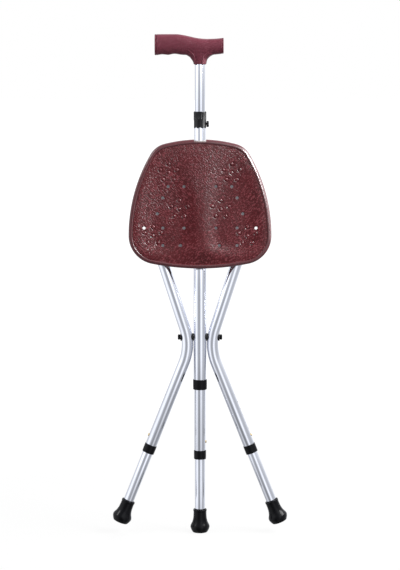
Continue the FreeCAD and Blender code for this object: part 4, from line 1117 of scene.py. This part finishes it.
tubeSettings = {
    "around": 96,
    "endRound": 0.35 * mm,
    "outerBore": 8.92 * mm,
    "sleeveBore": 10.0 * mm,
    "innerBore": 7.64 * mm,
    "holeAboveEnd": 27.8 * mm,
    "holePitch": 12.5 * mm,
    "holeCount": 7,
    "buttonHole": 2.65 * mm,
    "boltHole": 3.05 * mm,
    "studHole": 2.05 * mm,
    "legPinHole": 3.06 * mm,
    "drillLength": 14.0 * mm,
    "boltReach": 20.0 * mm,
}

legSettings = {
    "elbow": Vector((15.94, 0, 324.4)) * mm,
    "lean": math.radians(18.1),
    "bendRadius": 90.0 * mm,
    "lower": 197.5 * mm,
    "upper": 200.58 * mm,
    "bendSteps": 18,
    # how far from the middle a drill starts, and how far it goes outward
    "boltDrill": (4.0 * mm, 34.0 * mm),
    "pinDrill": (50.0 * mm, 50.0 * mm),
}


def makeTube(node, body, material, path, outer, inner, holes=()):
    # a round tube along a path of (point, direction), with slightly rounded ends and its holes drilled
    s = tubeSettings
    r = s["endRound"]
    bevel = 0.3 * r  # halfway round a quarter circle
    (start, first), (end, last) = path[0], path[-1]
    loops = [(start, first, inner), (start, first, outer - r), (start + first * bevel, first, outer - bevel),
             (start + first * r, first, outer)]
    loops += [(point, along, outer) for point, along in path[1:-1]]
    loops += [(end - last * r, last, outer), (end - last * bevel, last, outer - bevel),
              (end, last, outer - r), (end, last, inner)]
    loops += [(point, along, inner) for point, along in reversed(path[1:-1])]
    depth = Vector((0, 1, 0))
    turns = [2 * math.pi * k / s["around"] for k in range(s["around"])]
    rings = [[point + radius * (math.cos(t) * along.cross(depth) + math.sin(t) * depth) for t in turns]
             for point, along, radius in loops]
    tube = loft(f"{node}Drawn", rings, material, tubular=True)
    sharpenByAngle(tube)
    if holes:
        drill(tube, holes)
    standIn(tube, body, node)


def makeStraightTube(node, body, material, axis, inner, holes=()):
    base, length, radius = span(node, axis)
    makeTube(node, body, material, [(base, axis), (base + axis * length, axis)], radius, inner, holes)


def buttonRow(end, along, outward):
    s = tubeSettings
    heights = [s["holeAboveEnd"] + s["holePitch"] * i for i in range(s["holeCount"])]
    return [(end + along * height, outward, s["buttonHole"], s["drillLength"]) for height in heights]


def makeStraightTubes():
    s = tubeSettings
    aluminium = materials["column"]
    bolt = (Vector((-s["boltReach"], 0, boltHeight)), rightward, s["boltHole"], 2 * s["boltReach"])
    stud = (Vector((0, 0, studHeight)), rightward, s["studHole"], s["drillLength"])
    row = buttonRow(span("column_tube", upward)[0], upward, rightward)
    makeStraightTube("column_tube", "column", aluminium, upward, s["outerBore"], row + [bolt, stud])
    makeStraightTube("column_sleeve", "column", aluminium, upward, s["sleeveBore"], [bolt])
    makeStraightTube("handle_tube", "handle", aluminium, upward, s["innerBore"])
    for side, material in (("centre", "column"), ("left", "left"), ("right", "right")):
        along = sideAxis[side]
        node = f"{side}_foot_tube"
        end = span(node, along)[0]
        button = Vector(middleOf(f"{side}_button"))
        outward = Vector((along.z, 0, -along.x)) * (-1 if side == "left" else 1)
        hole = (end + along * (button - end).dot(along), outward, s["buttonHole"], s["drillLength"])
        makeStraightTube(node, f"{side}_foot", materials[material], along, s["innerBore"], [hole])


def makeLegTube(prefix, side):
    # a run below, an arc of the bend radius that touches both runs, and a run above
    s, t = legSettings, tubeSettings
    bend = splay + s["lean"]
    bisect = (splay - s["lean"]) / 2
    reach = s["bendRadius"] / math.cos(bend / 2)
    heart = s["elbow"] + reach * Vector((math.cos(bisect), 0, math.sin(bisect)))
    low = Vector((-math.sin(splay), 0, math.cos(splay)))
    high = Vector((math.sin(s["lean"]), 0, math.cos(s["lean"])))
    path = [(s["elbow"] - low * s["lower"], low)]
    for k in range(s["bendSteps"] + 1):
        turn = -splay + bend * k / s["bendSteps"]
        point = heart - s["bendRadius"] * Vector((math.cos(turn), 0, -math.sin(turn)))
        path.append((point, Vector((math.sin(turn), 0, math.cos(turn)))))
    path.append((s["elbow"] + high * s["upper"], high))
    path = [(Vector((side * p.x, 0, p.z)), Vector((side * d.x, 0, d.z))) for p, d in path]
    across = Vector((side, 0, 0))
    outward = Vector((side * math.cos(splay), 0, math.sin(splay)))
    holes = buttonRow(*path[0], outward)
    pinHeight = middleOf(f"{prefix}_leg_pin")[2]
    for height, radius, (start, length) in ((boltHeight, t["boltHole"], s["boltDrill"]),
                                            (pinHeight, t["legPinHole"], s["pinDrill"])):
        holes.append((Vector((side * start, 0, height)), across, radius, length))
    makeTube(f"{prefix}_leg_tube", f"{prefix}_leg", materials[prefix], path, columnTube, t["outerBore"],
             holes)


makeStraightTubes()
makeLegTube("left", -1)
makeLegTube("right", 1)
print("tubes made")


# Handle clamp: ribbed ring, scalloped band and fluted knob; the knurled caps of the pivot bolt

def wave(angle, count):
    return 0.5 + 0.5 * math.cos(count * angle)


def turnPiece(name, node, body, material, corners, axis, base, around, shape, holes=()):
    piece = lathe(name, roundedProfile(corners), materials[material], axis, base, around, shape)
    sharpenByAngle(piece, "turned")
    if holes:
        drill(piece, holes)
    standIn(piece, body, node)


clampSettings = {
    "boreGap": 0.03 * mm,
    "wall": 0.4 * mm,  # round the bore, left alone by ribs and knurls
    "lipGap": 0.1 * mm,
    "lipHeight": 1.9 * mm,
    "ribs": 20,
    "ribDepth": 0.6 * mm,
    "ribFrom": 1.4 * mm,
    "ribTo": 12.6 * mm,
    "ribSlope": 0.7 * mm,
    "scallops": 8,
    "scallopRise": 1.9 * mm,
    "scallopReach": 1.6 * mm,
    "knurls": 14,
    "knurlDepth": 0.4 * mm,
    "knurlFrom": (2.0 * mm, 3.0 * mm),
    "knurlTo": (2.2 * mm, 1.4 * mm),  # below the band's top
    "ringAround": 240,
    "bandAround": 224,
}


def makeClampRing():
    s = clampSettings
    base, length, radius = span("clamp_ring", upward)
    bore, lip, step = columnTube + s["boreGap"], innerTube + s["lipGap"], length - s["lipHeight"]
    low, high, slope = s["ribFrom"], s["ribTo"], s["ribSlope"]
    corners = [(bore, 0, 0.2 * mm), (radius, 0, 0.6 * mm), (radius, low, 0), (radius, low + slope, 0),
               (radius, high - slope, 0), (radius, high, 0), (radius, length, 1.1 * mm),
               (lip, length, 0.4 * mm), (lip, step, 0), (bore, step, 0)]

    def ribs(angle, r, z):
        if r <= bore + s["wall"]:
            return r, z
        inside = smoothStep(low, low + slope, z) * (1 - smoothStep(high - slope, high, z))
        return r - s["ribDepth"] * inside * wave(angle, s["ribs"]) ** 3, z

    turnPiece("clampRing", "clamp_ring", "column", "clamp", corners, upward, base,
              s["ringAround"], ribs)


def makeClampBand():
    s = clampSettings
    base, length, radius = span("clamp_band", upward)
    bore = columnTube + s["boreGap"]
    (from0, from1), (to0, to1) = s["knurlFrom"], [length - drop for drop in s["knurlTo"]]
    corners = [(bore, 0, 0), (radius, 0, 0.2 * mm), (radius, s["scallopReach"], 0), (radius, from1, 0),
               (radius, to0, 0), (radius, to1, 0), (radius, length, 0.3 * mm), (bore, length, 0)]

    def scallops(angle, r, z):
        lift = s["scallopRise"] * wave(angle, s["scallops"]) ** 1.5 * max(0.0, 1 - z / s["scallopReach"])
        if r > bore + s["wall"]:
            inside = smoothStep(from0, from1, z) * (1 - smoothStep(to0, to1, z))
            r -= s["knurlDepth"] * inside * wave(angle, s["knurls"]) ** 2
        return r, z + lift

    hole = (Vector((0, 0, studHeight)), rightward, tubeSettings["studHole"], tubeSettings["drillLength"])
    turnPiece("clampBand", "clamp_band", "column", "clamp", corners, upward, base,
              s["bandAround"], scallops, [hole])


knobSettings = {
    "stud": 2.0 * mm,
    "headFrom": 2.0 * mm,
    "dish": 0.5 * mm,
    "dishRim": 0.4,  # the dish's radii at its rim and floor, as shares of the knob's
    "dishFloor": 0.32,
    "flutes": 8,
    "fluteDepth": 0.75 * mm,
    "fluteReach": (0.5, 0.85),  # shares of the radius between which a flute deepens
    "around": 144,
}


def makeKnob():
    s = knobSettings
    base, length, radius = span("lock_knob", rightward)
    stud, head, floor = s["stud"], s["headFrom"], length - s["dish"]
    corners = [(0, 0, 0), (stud, 0, 0.3 * mm), (stud, head, 0), (radius - 0.9 * mm, head, 0.3 * mm),
               (radius, head + 1 * mm, 0.6 * mm), (radius, length - 1.2 * mm, 0.6 * mm),
               (radius - 1.1 * mm, length, 0.6 * mm), (radius * s["dishRim"], length, 0.3 * mm),
               (radius * s["dishFloor"], floor, 0.3 * mm), (0, floor, 0)]

    def flutes(angle, r, z):
        reach = smoothStep(*s["fluteReach"], r / radius)
        return r - s["fluteDepth"] * wave(angle, s["flutes"]) ** 2 * reach, z

    turnPiece("lockKnob", "lock_knob", "lock_knob", "clamp", corners, rightward, base,
              s["around"], flutes)


pivotCapSettings = {
    "bore": 3.03 * mm,
    "dish": 0.4 * mm,
    "dishRim": 0.35,  # the dish's radii at its rim and floor, as shares of the cap's
    "dishFloor": 0.3,
    "floor": 1.15 * mm,
    "knurls": 18,
    "knurlDepth": 0.35 * mm,
    "knurlReach": (0.72, 0.9),  # shares of the radius between which a knurl deepens
    "around": 144,
}


def makePivotCap(prefix, side):
    s = pivotCapSettings
    axis = Vector((side, 0, 0))
    base, length, radius = span(f"{prefix}_pivot_cap", axis)
    bore, dish = s["bore"], length - s["dish"]
    corners = [(bore, 0, 0), (radius - 0.8 * mm, 0, 0.2 * mm), (radius, 0.8 * mm, 0.3 * mm),
               (radius, length - 0.9 * mm, 0.4 * mm), (radius - 0.9 * mm, length, 0.5 * mm),
               (radius * s["dishRim"], length, 0.2 * mm), (radius * s["dishFloor"], dish, 0.2 * mm),
               (0, dish, 0), (0, dish - s["floor"], 0), (bore, dish - s["floor"], 0)]

    def knurls(angle, r, z):
        reach = smoothStep(*s["knurlReach"], r / radius)
        return r - s["knurlDepth"] * wave(angle, s["knurls"]) * reach, z

    turnPiece(f"{prefix}PivotCap", f"{prefix}_pivot_cap", "column", "collar", corners,
              axis, base, s["around"], knurls)


makeClampRing()
makeClampBand()
makeKnob()
makePivotCap("left", -1)
makePivotCap("right", 1)
print("clamp made")


# Screws with a crossed recess

screwSettings = {
    "recessWidth": 0.9 * mm,
    "recessDepth": 0.9 * mm,
    "recessLength": 0.62,  # of the head's width
    "crown": 0.45,  # share of the head's height where its dome begins
    "domeTop": 0.55,  # the dome's flat top and its rounding, as shares of the head's radius
    "domeRound": 0.3,
    "tipWidth": 0.8,  # the shank's end and its taper, as shares of its radius
    "tipTaper": 0.3,
    "around": 40,
    # height of the head, then radius and length of the shank
    "seatScrew": (2.0 * mm, 1.5 * mm, 2.2 * mm),
    "gripScrew": (1.4 * mm, 1.6 * mm, 2.4 * mm),
    "seatHead": 3.6 * mm,
}
backward = Vector((0, 1, 0))


def makeScrew(seat, headRadius, headHeight, shankRadius, shankLength):
    # a pan head that faces backward from its seat, with a crossed recess, and the start of its shank
    s = screwSettings
    dome = headRadius * s["domeRound"]
    corners = [(shankRadius * s["tipWidth"], -shankLength, 0),
               (shankRadius, -shankLength + shankRadius * s["tipTaper"], 0), (shankRadius, 0, 0),
               (headRadius, 0, 0.2 * mm), (headRadius, headHeight * s["crown"], dome),
               (headRadius * s["domeTop"], headHeight, dome)]
    profile = [Vector((0, -shankLength))] + roundedProfile(corners) + [Vector((0, headHeight))]
    screw = lathe("screw", profile, materials["steel"], backward, seat, s["around"])
    turn = upward.rotation_difference(backward).to_matrix().to_4x4()
    reach, half = s["recessLength"] * headRadius, s["recessWidth"] / 2
    floor, above = headHeight - s["recessDepth"], headHeight + 1 * mm
    for wide, narrow in ((reach, half), (half, reach)):
        outline = [(-wide, -narrow), (wide, -narrow), (wide, narrow), (-wide, narrow)]
        bar = prism("bar", outline, floor, above, materials["steel"], "z")
        bar.data.transform(Matrix.Translation(seat) @ turn)
        carve(screw, bar)
    return screw


def makeScrews():
    s = screwSettings
    r = s["seatHead"]
    for node, name in (("plate_screws", "plateScrews"), ("bracket_screws", "bracketScrews")):
        low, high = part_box(node)
        spots = [Vector((x, high.y - s["seatScrew"][0], z)) for x in (low.x + r, high.x - r)
                 for z in (low.z + r, high.z - r)]
        made = [makeScrew(spot, r, *s["seatScrew"]) for spot in spots]
        joinInto(made[0], made[1:])
        made[0].name = name
        standIn(made[0], "seat", node)
    low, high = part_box("grip_screw")
    middle = middleOf("grip_screw")
    seat = Vector((middle[0], high.y - s["gripScrew"][0], middle[2]))
    screw = makeScrew(seat, (high.z - low.z) / 2, *s["gripScrew"])
    screw.name = "gripScrew"
    standIn(screw, "handle", "grip_screw")


makeScrews()
print("screws made")


# Handle grip: a flattened barrel with finger hollows, end caps and a flared stem with two moulded ridges

gripSettings = {
    # the grip's upper and lower edge, across and up in millimetres, measured in the photograph
    "top": ((-76.9, 857.8), (-38.4, 857.8), (-28.0, 856.4), (-17.7, 854.2), (-7.4, 851.9), (2.9, 850.4),
            (13.2, 849.9), (28.7, 850.5), (40.1, 851.8)),
    "under": ((-76.9, 822.6), (-74.5, 822.3), (-64.2, 823.7), (-53.8, 822.9), (-43.5, 824.6), (-30.0, 822.9),
              (0.0, 822.5), (23.6, 823.2), (40.1, 825.0)),
    # the stem's sides, half depth and ridges, each as height and across
    "stemLeft": ((806.7, -10.7), (811.2, -11.9), (817.0, -15.8), (819.2, -17.7), (822.4, -22.9),
                 (824.0, -27.0), (842.0, -29.0)),
    "stemRight": ((806.7, 10.7), (811.0, 11.4), (816.0, 13.2), (820.8, 18.4), (823.3, 23.6), (824.6, 28.0),
                  (842.0, 30.0)),
    "stemDepth": ((806.7, 10.7), (815.0, 10.9), (822.0, 11.5), (828.0, 12.1), (842.0, 12.1)),
    "ridgeLeft": ((806.7, -8.1), (812.0, -8.6), (819.6, -10.1), (826.0, -14.0), (830.0, -20.0)),
    "ridgeRight": ((806.7, 4.5), (812.0, 4.3), (819.6, 5.5), (823.5, 9.0), (827.0, 14.0), (829.5, 20.0)),
    "ridgeHeight": 0.75 * mm,
    "ridgeWidth": 0.75,
    "ridgeSteps": 16,
    "panelDepth": 0.5 * mm,
    "panelEdge": (0.4, 1.6),
    "panelTop": (3.5, 0.5),  # below the ridges' upper end
    "bulge": (8.0, 832.0, 5.0),  # across, up and reach
    "bulgeHeight": 0.5 * mm,
    "faceFrom": 4.0 * mm,  # only this far from the middle plane is the stem moulded
    "stemReach": 26.0,
    "stemTop": 842.0,
    "stemPower": 2.15,
    "stemStart": 0.5,
    "stemStep": 0.8,
    "stemRings": 40,
    "halfDepth": 12.45 * mm,
    "power": 2.35,
    "around": 96,
    "ringStep": 0.9,
    "capWidth": 2.6,
    "capRound": 1.1 * mm,
    "capSteps": 5,
    "seamRound": 0.45 * mm,
    "voxel": 0.62 * mm,
    "smoothFactor": 0.5,
    "smoothTimes": 7,
    "bore": 8.87 * mm,
    "boreTop": 836.8 * mm,
    "boreBelow": 2.0 * mm,
}


def curveAt(points, x):
    # a smooth curve through points, read at one place
    x = min(max(x, points[0][0]), points[-1][0])
    i = max(k for k in range(len(points) - 1) if points[k][0] <= x)
    slopes = []
    for k in (i, i + 1):
        before, after = points[max(k - 1, 0)], points[min(k + 1, len(points) - 1)]
        slopes.append((after[1] - before[1]) / (after[0] - before[0]))
    (a, p), (b, q) = points[i], points[i + 1]
    t = (x - a) / (b - a)
    rise = 3 * t * t - 2 * t ** 3
    bend = (t ** 3 - 2 * t * t + t) * slopes[0] + (t ** 3 - t * t) * slopes[1]
    return p * (1 - rise) + q * rise + bend * (b - a)


def rounded(t, power):
    # a point of a unit ring between a circle and a square
    c, s = math.cos(t), math.sin(t)
    return math.copysign(abs(c) ** (2 / power), c), math.copysign(abs(s) ** (2 / power), s)


def gripRing(x, inset=0.0):
    s = gripSettings
    top, under = curveAt(s["top"], x) * mm, curveAt(s["under"], x) * mm
    middle, half = (top + under) / 2, (top - under) / 2 - inset
    spots = [rounded(2 * math.pi * (k + 0.5) / s["around"], s["power"]) for k in range(s["around"])]
    return [Vector((x * mm, a * (s["halfDepth"] - inset), middle + b * half)) for a, b in spots]


def stemRing(z, inset=0.0):
    s = gripSettings
    left, right, depth = [curveAt(s[key], z) * mm for key in ("stemLeft", "stemRight", "stemDepth")]
    middle, half = (left + right) / 2, (right - left) / 2 - inset
    spots = [rounded(2 * math.pi * (k + 0.5) / s["around"], s["stemPower"]) for k in range(s["around"])]
    return [Vector((middle + a * half, b * (depth - inset), z * mm)) for a, b in spots]


def capRings(x, outward):
    # a disc from the seam to the handle's end, rounded on both rims
    s = gripSettings
    seam, end = s["seamRound"], s["capRound"]
    turns = [math.pi / 2 * k / s["capSteps"] for k in range(s["capSteps"] + 1)]
    spots = [(s["capWidth"], seam * 3)]
    spots += [(s["capWidth"] - seam / mm * (1 - math.cos(t)), seam * (1 - math.sin(t))) for t in turns]
    spots += [(end / mm * (1 - math.sin(t)), end * (1 - math.cos(t))) for t in turns]
    spots.append((0.0, end * 2))
    return [gripRing(x - outward * back, inset) for back, inset in spots]


def lineDistance(points, x, z):
    # how far a spot lies from a bent line of (height, across) points
    best = math.inf
    for (z0, x0), (z1, x1) in zip(points, points[1:]):
        along = Vector((x1 - x0, z1 - z0))
        t = min(max(Vector((x - x0, z - z0)).dot(along) / along.length_squared, 0), 1)
        best = min(best, (Vector((x0, z0)) + along * t - Vector((x, z))).length)
    return best


def mouldStem(piece):
    # raises the two ridges and the bulge and sinks the panel between the ridges, on both sides
    s = gripSettings
    ridges = []
    for key in ("ridgeLeft", "ridgeRight"):
        low, high = s[key][0][0], s[key][-1][0]
        heights = [low + (high - low) * k / s["ridgeSteps"] for k in range(s["ridgeSteps"] + 1)]
        ridges.append([(z, curveAt(s[key], z)) for z in heights])
    panelTop = [s["ridgeRight"][-1][0] - drop for drop in s["panelTop"]]
    bulgeX, bulgeZ, bulgeReach = s["bulge"]
    piece.data.update()
    normals = [v.normal.copy() for v in piece.data.vertices]
    for vertex, normal in zip(piece.data.vertices, normals):
        x, z = vertex.co.x / mm, vertex.co.z / mm
        if abs(vertex.co.y) < s["faceFrom"] or z > s["stemTop"] or abs(x) > s["stemReach"]:
            continue
        away = min(lineDistance(ridge, x, z) for ridge in ridges)
        push = s["ridgeHeight"] * math.exp(-(away / s["ridgeWidth"]) ** 2)
        if z < s["ridgeRight"][-1][0]:
            left, right = curveAt(s["ridgeLeft"], z), curveAt(s["ridgeRight"], z)
            inside = smoothStep(*s["panelEdge"], x - left) * smoothStep(*s["panelEdge"], right - x)
            push -= s["panelDepth"] * inside * (1 - smoothStep(*panelTop, z))
        push += s["bulgeHeight"] * math.exp(-((x - bulgeX) ** 2 + (z - bulgeZ) ** 2) / bulgeReach ** 2)
        vertex.co += normal * push


def makeGrip():
    # the barrel and the stem are melted into one skin, then moulded, bored and closed with the end caps
    s = gripSettings
    start, end = s["top"][0][0], s["top"][-1][0]
    inner, outer = start + s["capWidth"], end - s["capWidth"]
    seam = s["seamRound"] / mm
    steps = int((outer - inner) / s["ringStep"])
    places = [inner + seam + (outer - inner - 2 * seam) * k / steps for k in range(steps + 1)]
    rings = [gripRing(inner, s["seamRound"])] + [gripRing(x) for x in places]
    rings.append(gripRing(outer, s["seamRound"]))
    grip = loft("handleGrip", rings, materials["grip"])
    foot = s["stemLeft"][0][0]
    heights = [foot + s["stemStart"] + s["stemStep"] * k for k in range(s["stemRings"])]
    stemRings = [stemRing(foot, s["stemStart"] * mm)] + [stemRing(z) for z in heights]
    stem = loft("stem", stemRings, materials["grip"])
    joinInto(grip, [stem])
    remesh = grip.modifiers.new("blend", "REMESH")
    remesh.mode = "VOXEL"
    remesh.voxel_size = s["voxel"]
    soften = grip.modifiers.new("soften", "SMOOTH")
    soften.factor = s["smoothFactor"]
    soften.iterations = s["smoothTimes"]
    applyModifiers(grip)
    grip.data.polygons.foreach_set("use_smooth", [True] * len(grip.data.polygons))
    mouldStem(grip)
    low = foot * mm - s["boreBelow"]
    drill(grip, [(Vector((0, 0, low)), upward, s["bore"], s["boreTop"] - low)])
    caps = [loft("cap", capRings(x, side), materials["grip"]) for x, side in ((start, -1), (end, 1))]
    for cap in caps:
        sharpenByAngle(cap, "cap")
    joinInto(grip, caps)
    grip.data.materials.clear()
    grip.data.materials.append(materials["grip"])
    grip.data.polygons.foreach_set("material_index", [0] * len(grip.data.polygons))
    standIn(grip, "handle", "handle_grip")
    print("grip made:", len(grip.data.vertices), "points")


makeGrip()


# Finishes for the CAD pieces that stay

def dress(material, *names):
    for name in names:
        mesh = nodes[name].data
        mesh.materials.clear()
        mesh.materials.append(material)


for side in ("left", "right"):
    dress(materials["nylon"], f"{side}_leg_cap", f"{side}_column_saddle", f"{side}_inner_saddle",
          f"{side}_outer_saddle", f"{side}_leg_spacers")
    dress(materials["plate"], f"{side}_bracket")
    dress(materials["steel"], f"{side}_leg_pin")
for prefix in ("centre", "left", "right"):
    dress(materials["steel"], f"{prefix}_tip_washer", f"{prefix}_snap_spring")
    dress(materials["brass"], f"{prefix}_button")
dress(materials["slider"], "slider")
dress(materials["plate"], "seat_backing_plate")
dress(materials["steel"], "pivot_bolt", "seat_hinge_pins")
print("CAD pieces dressed")


# Floor and background

floorSettings = {
    "colour": (0.25, 0.25, 0.25),  # as the light on the object sees it
    "roughness": 0.9,
    "glow": 1.14,
    "shadowShare": 0.2,
    "fadeFrom": 0.5,
    "fadeTo": 1.5,
    "half": 30.0,
}


def makeFloor():
    # pale, shown white, with the object's faint shadow near its feet
    s = floorSettings
    material, tree, shader = newMaterial("floorPale", shine=0.0)
    shader.inputs["Roughness"].default_value = s["roughness"]
    shader.inputs["Base Color"].default_value = (*s["colour"], 1)
    corners = [(x * s["half"], y * s["half"], 0) for x, y in ((-1, -1), (1, -1), (1, 1), (-1, 1))]
    floor = newPiece("floor", corners, [(0, 1, 2, 3)], material, False)
    away = addNode(tree, "ShaderNodeVectorMath", operation="LENGTH")
    wire(tree, objectCoords(tree), away.inputs[0])
    white = addNode(tree, "ShaderNodeEmission")
    white.inputs["Strength"].default_value = s["glow"]
    rays = addNode(tree, "ShaderNodeLightPath")
    shown = mathNode(tree, "MAXIMUM", rays.outputs["Is Camera Ray"], rays.outputs["Is Transmission Ray"])
    share = mapRange(tree, away.outputs["Value"], s["fadeFrom"], s["fadeTo"], 1 - s["shadowShare"], 1.0)
    mix = addNode(tree, "ShaderNodeMixShader")
    wire(tree, mathNode(tree, "MULTIPLY", shown, share), mix.inputs["Fac"])
    wire(tree, shader.outputs["BSDF"], mix.inputs[1])
    wire(tree, white.outputs["Emission"], mix.inputs[2])
    wire(tree, mix.outputs["Shader"], tree.nodes["Material Output"].inputs["Surface"])
    floor.visible_glossy = False  # metal shows the pale tent instead


worldSettings = {
    "diffuse": 0.42,
    "diffuseBelow": 0.07,
    "gloss": 1.35,
    "tint": (0.965, 0.985, 1.03),
    # what gloss sees by bearing from the camera's side, in degrees, as a share of the gloss level
    "bands": ((-180, 0.60), (-140, 0.56), (-108, 0.64), (-86, 0.98), (-58, 0.98), (-42, 0.56), (-28, 0.36),
              (-6, 0.34), (8, 0.66), (17, 1.0), (31, 1.0), (42, 0.66), (56, 0.46), (86, 0.46), (112, 0.58),
              (138, 0.78), (162, 0.82), (180, 0.62)),
    # the gloss level's shares far below and far above, and the heights between which each fades in
    "low": 0.6,
    "lowFade": (-0.65, -0.3),
    "high": 1.5,
    "highFade": (0.02, 0.4),
    "diffuseFade": (-0.5, 0.3),
}


def makeWorld():
    # white to the camera, banded in gloss like a studio tent, pale to everything else
    s = worldSettings
    world = bpy.data.worlds.new("studio")
    world.use_nodes = True
    scene.world = world
    tree = world.node_tree
    background = tree.nodes["Background"]
    coords = addNode(tree, "ShaderNodeTexCoord")
    parts = addNode(tree, "ShaderNodeSeparateXYZ")
    wire(tree, coords.outputs["Generated"], parts.inputs["Vector"])
    forward = mathNode(tree, "MULTIPLY", parts.outputs["Y"], -1.0)
    bearing = mathNode(tree, "ARCTAN2", parts.outputs["X"], forward)
    ramp = addNode(tree, "ShaderNodeValToRGB")
    ramp.color_ramp.interpolation = "EASE"
    wire(tree, mapRange(tree, bearing, -math.pi, math.pi, 0.0, 1.0, False), ramp.inputs["Fac"])
    elements = ramp.color_ramp.elements
    while len(elements) < len(s["bands"]):
        elements.new(0.5)
    for element, (degrees, level) in zip(elements, s["bands"]):
        element.position = (degrees + 180) / 360
        element.color = (level, level, level, 1)
    lower = mapRange(tree, parts.outputs["Z"], *s["lowFade"], s["low"], 1.0)
    upper = mapRange(tree, parts.outputs["Z"], *s["highFade"], s["gloss"], s["gloss"] * s["high"])
    level = mathNode(tree, "MULTIPLY", ramp.outputs["Color"], mathNode(tree, "MULTIPLY", lower, upper))
    tent = mixColour(tree, 1.0, level, s["tint"], "MULTIPLY")
    rays = addNode(tree, "ShaderNodeLightPath")
    soft = mapRange(tree, parts.outputs["Z"], *s["diffuseFade"], s["diffuseBelow"], s["diffuse"])
    lit = mixColour(tree, rays.outputs["Is Glossy Ray"], soft, tent)
    seen = mathNode(tree, "MAXIMUM", rays.outputs["Is Camera Ray"], rays.outputs["Is Transmission Ray"])
    wire(tree, mixColour(tree, seen, lit, (1.0, 1.0, 1.0)), background.inputs["Color"])


def shineOnlyOn(lamp, *pieces):
    # a gloss lamp that reaches some moulded pieces and leaves the metal alone
    group = bpy.data.collections.new(f"{lamp}Pieces")
    for name in pieces:
        group.objects.link(bpy.data.objects[name])
    bpy.data.objects[lamp].light_linking.receiver_collection = group


makeFloor()
makeWorld()
shineOnlyOn("sheenRight", "seatMoulding")
shineOnlyOn("stripRight", "seatMoulding", "handleGrip", "clampRing", "clampBand", "lockKnob")
print("stage set")
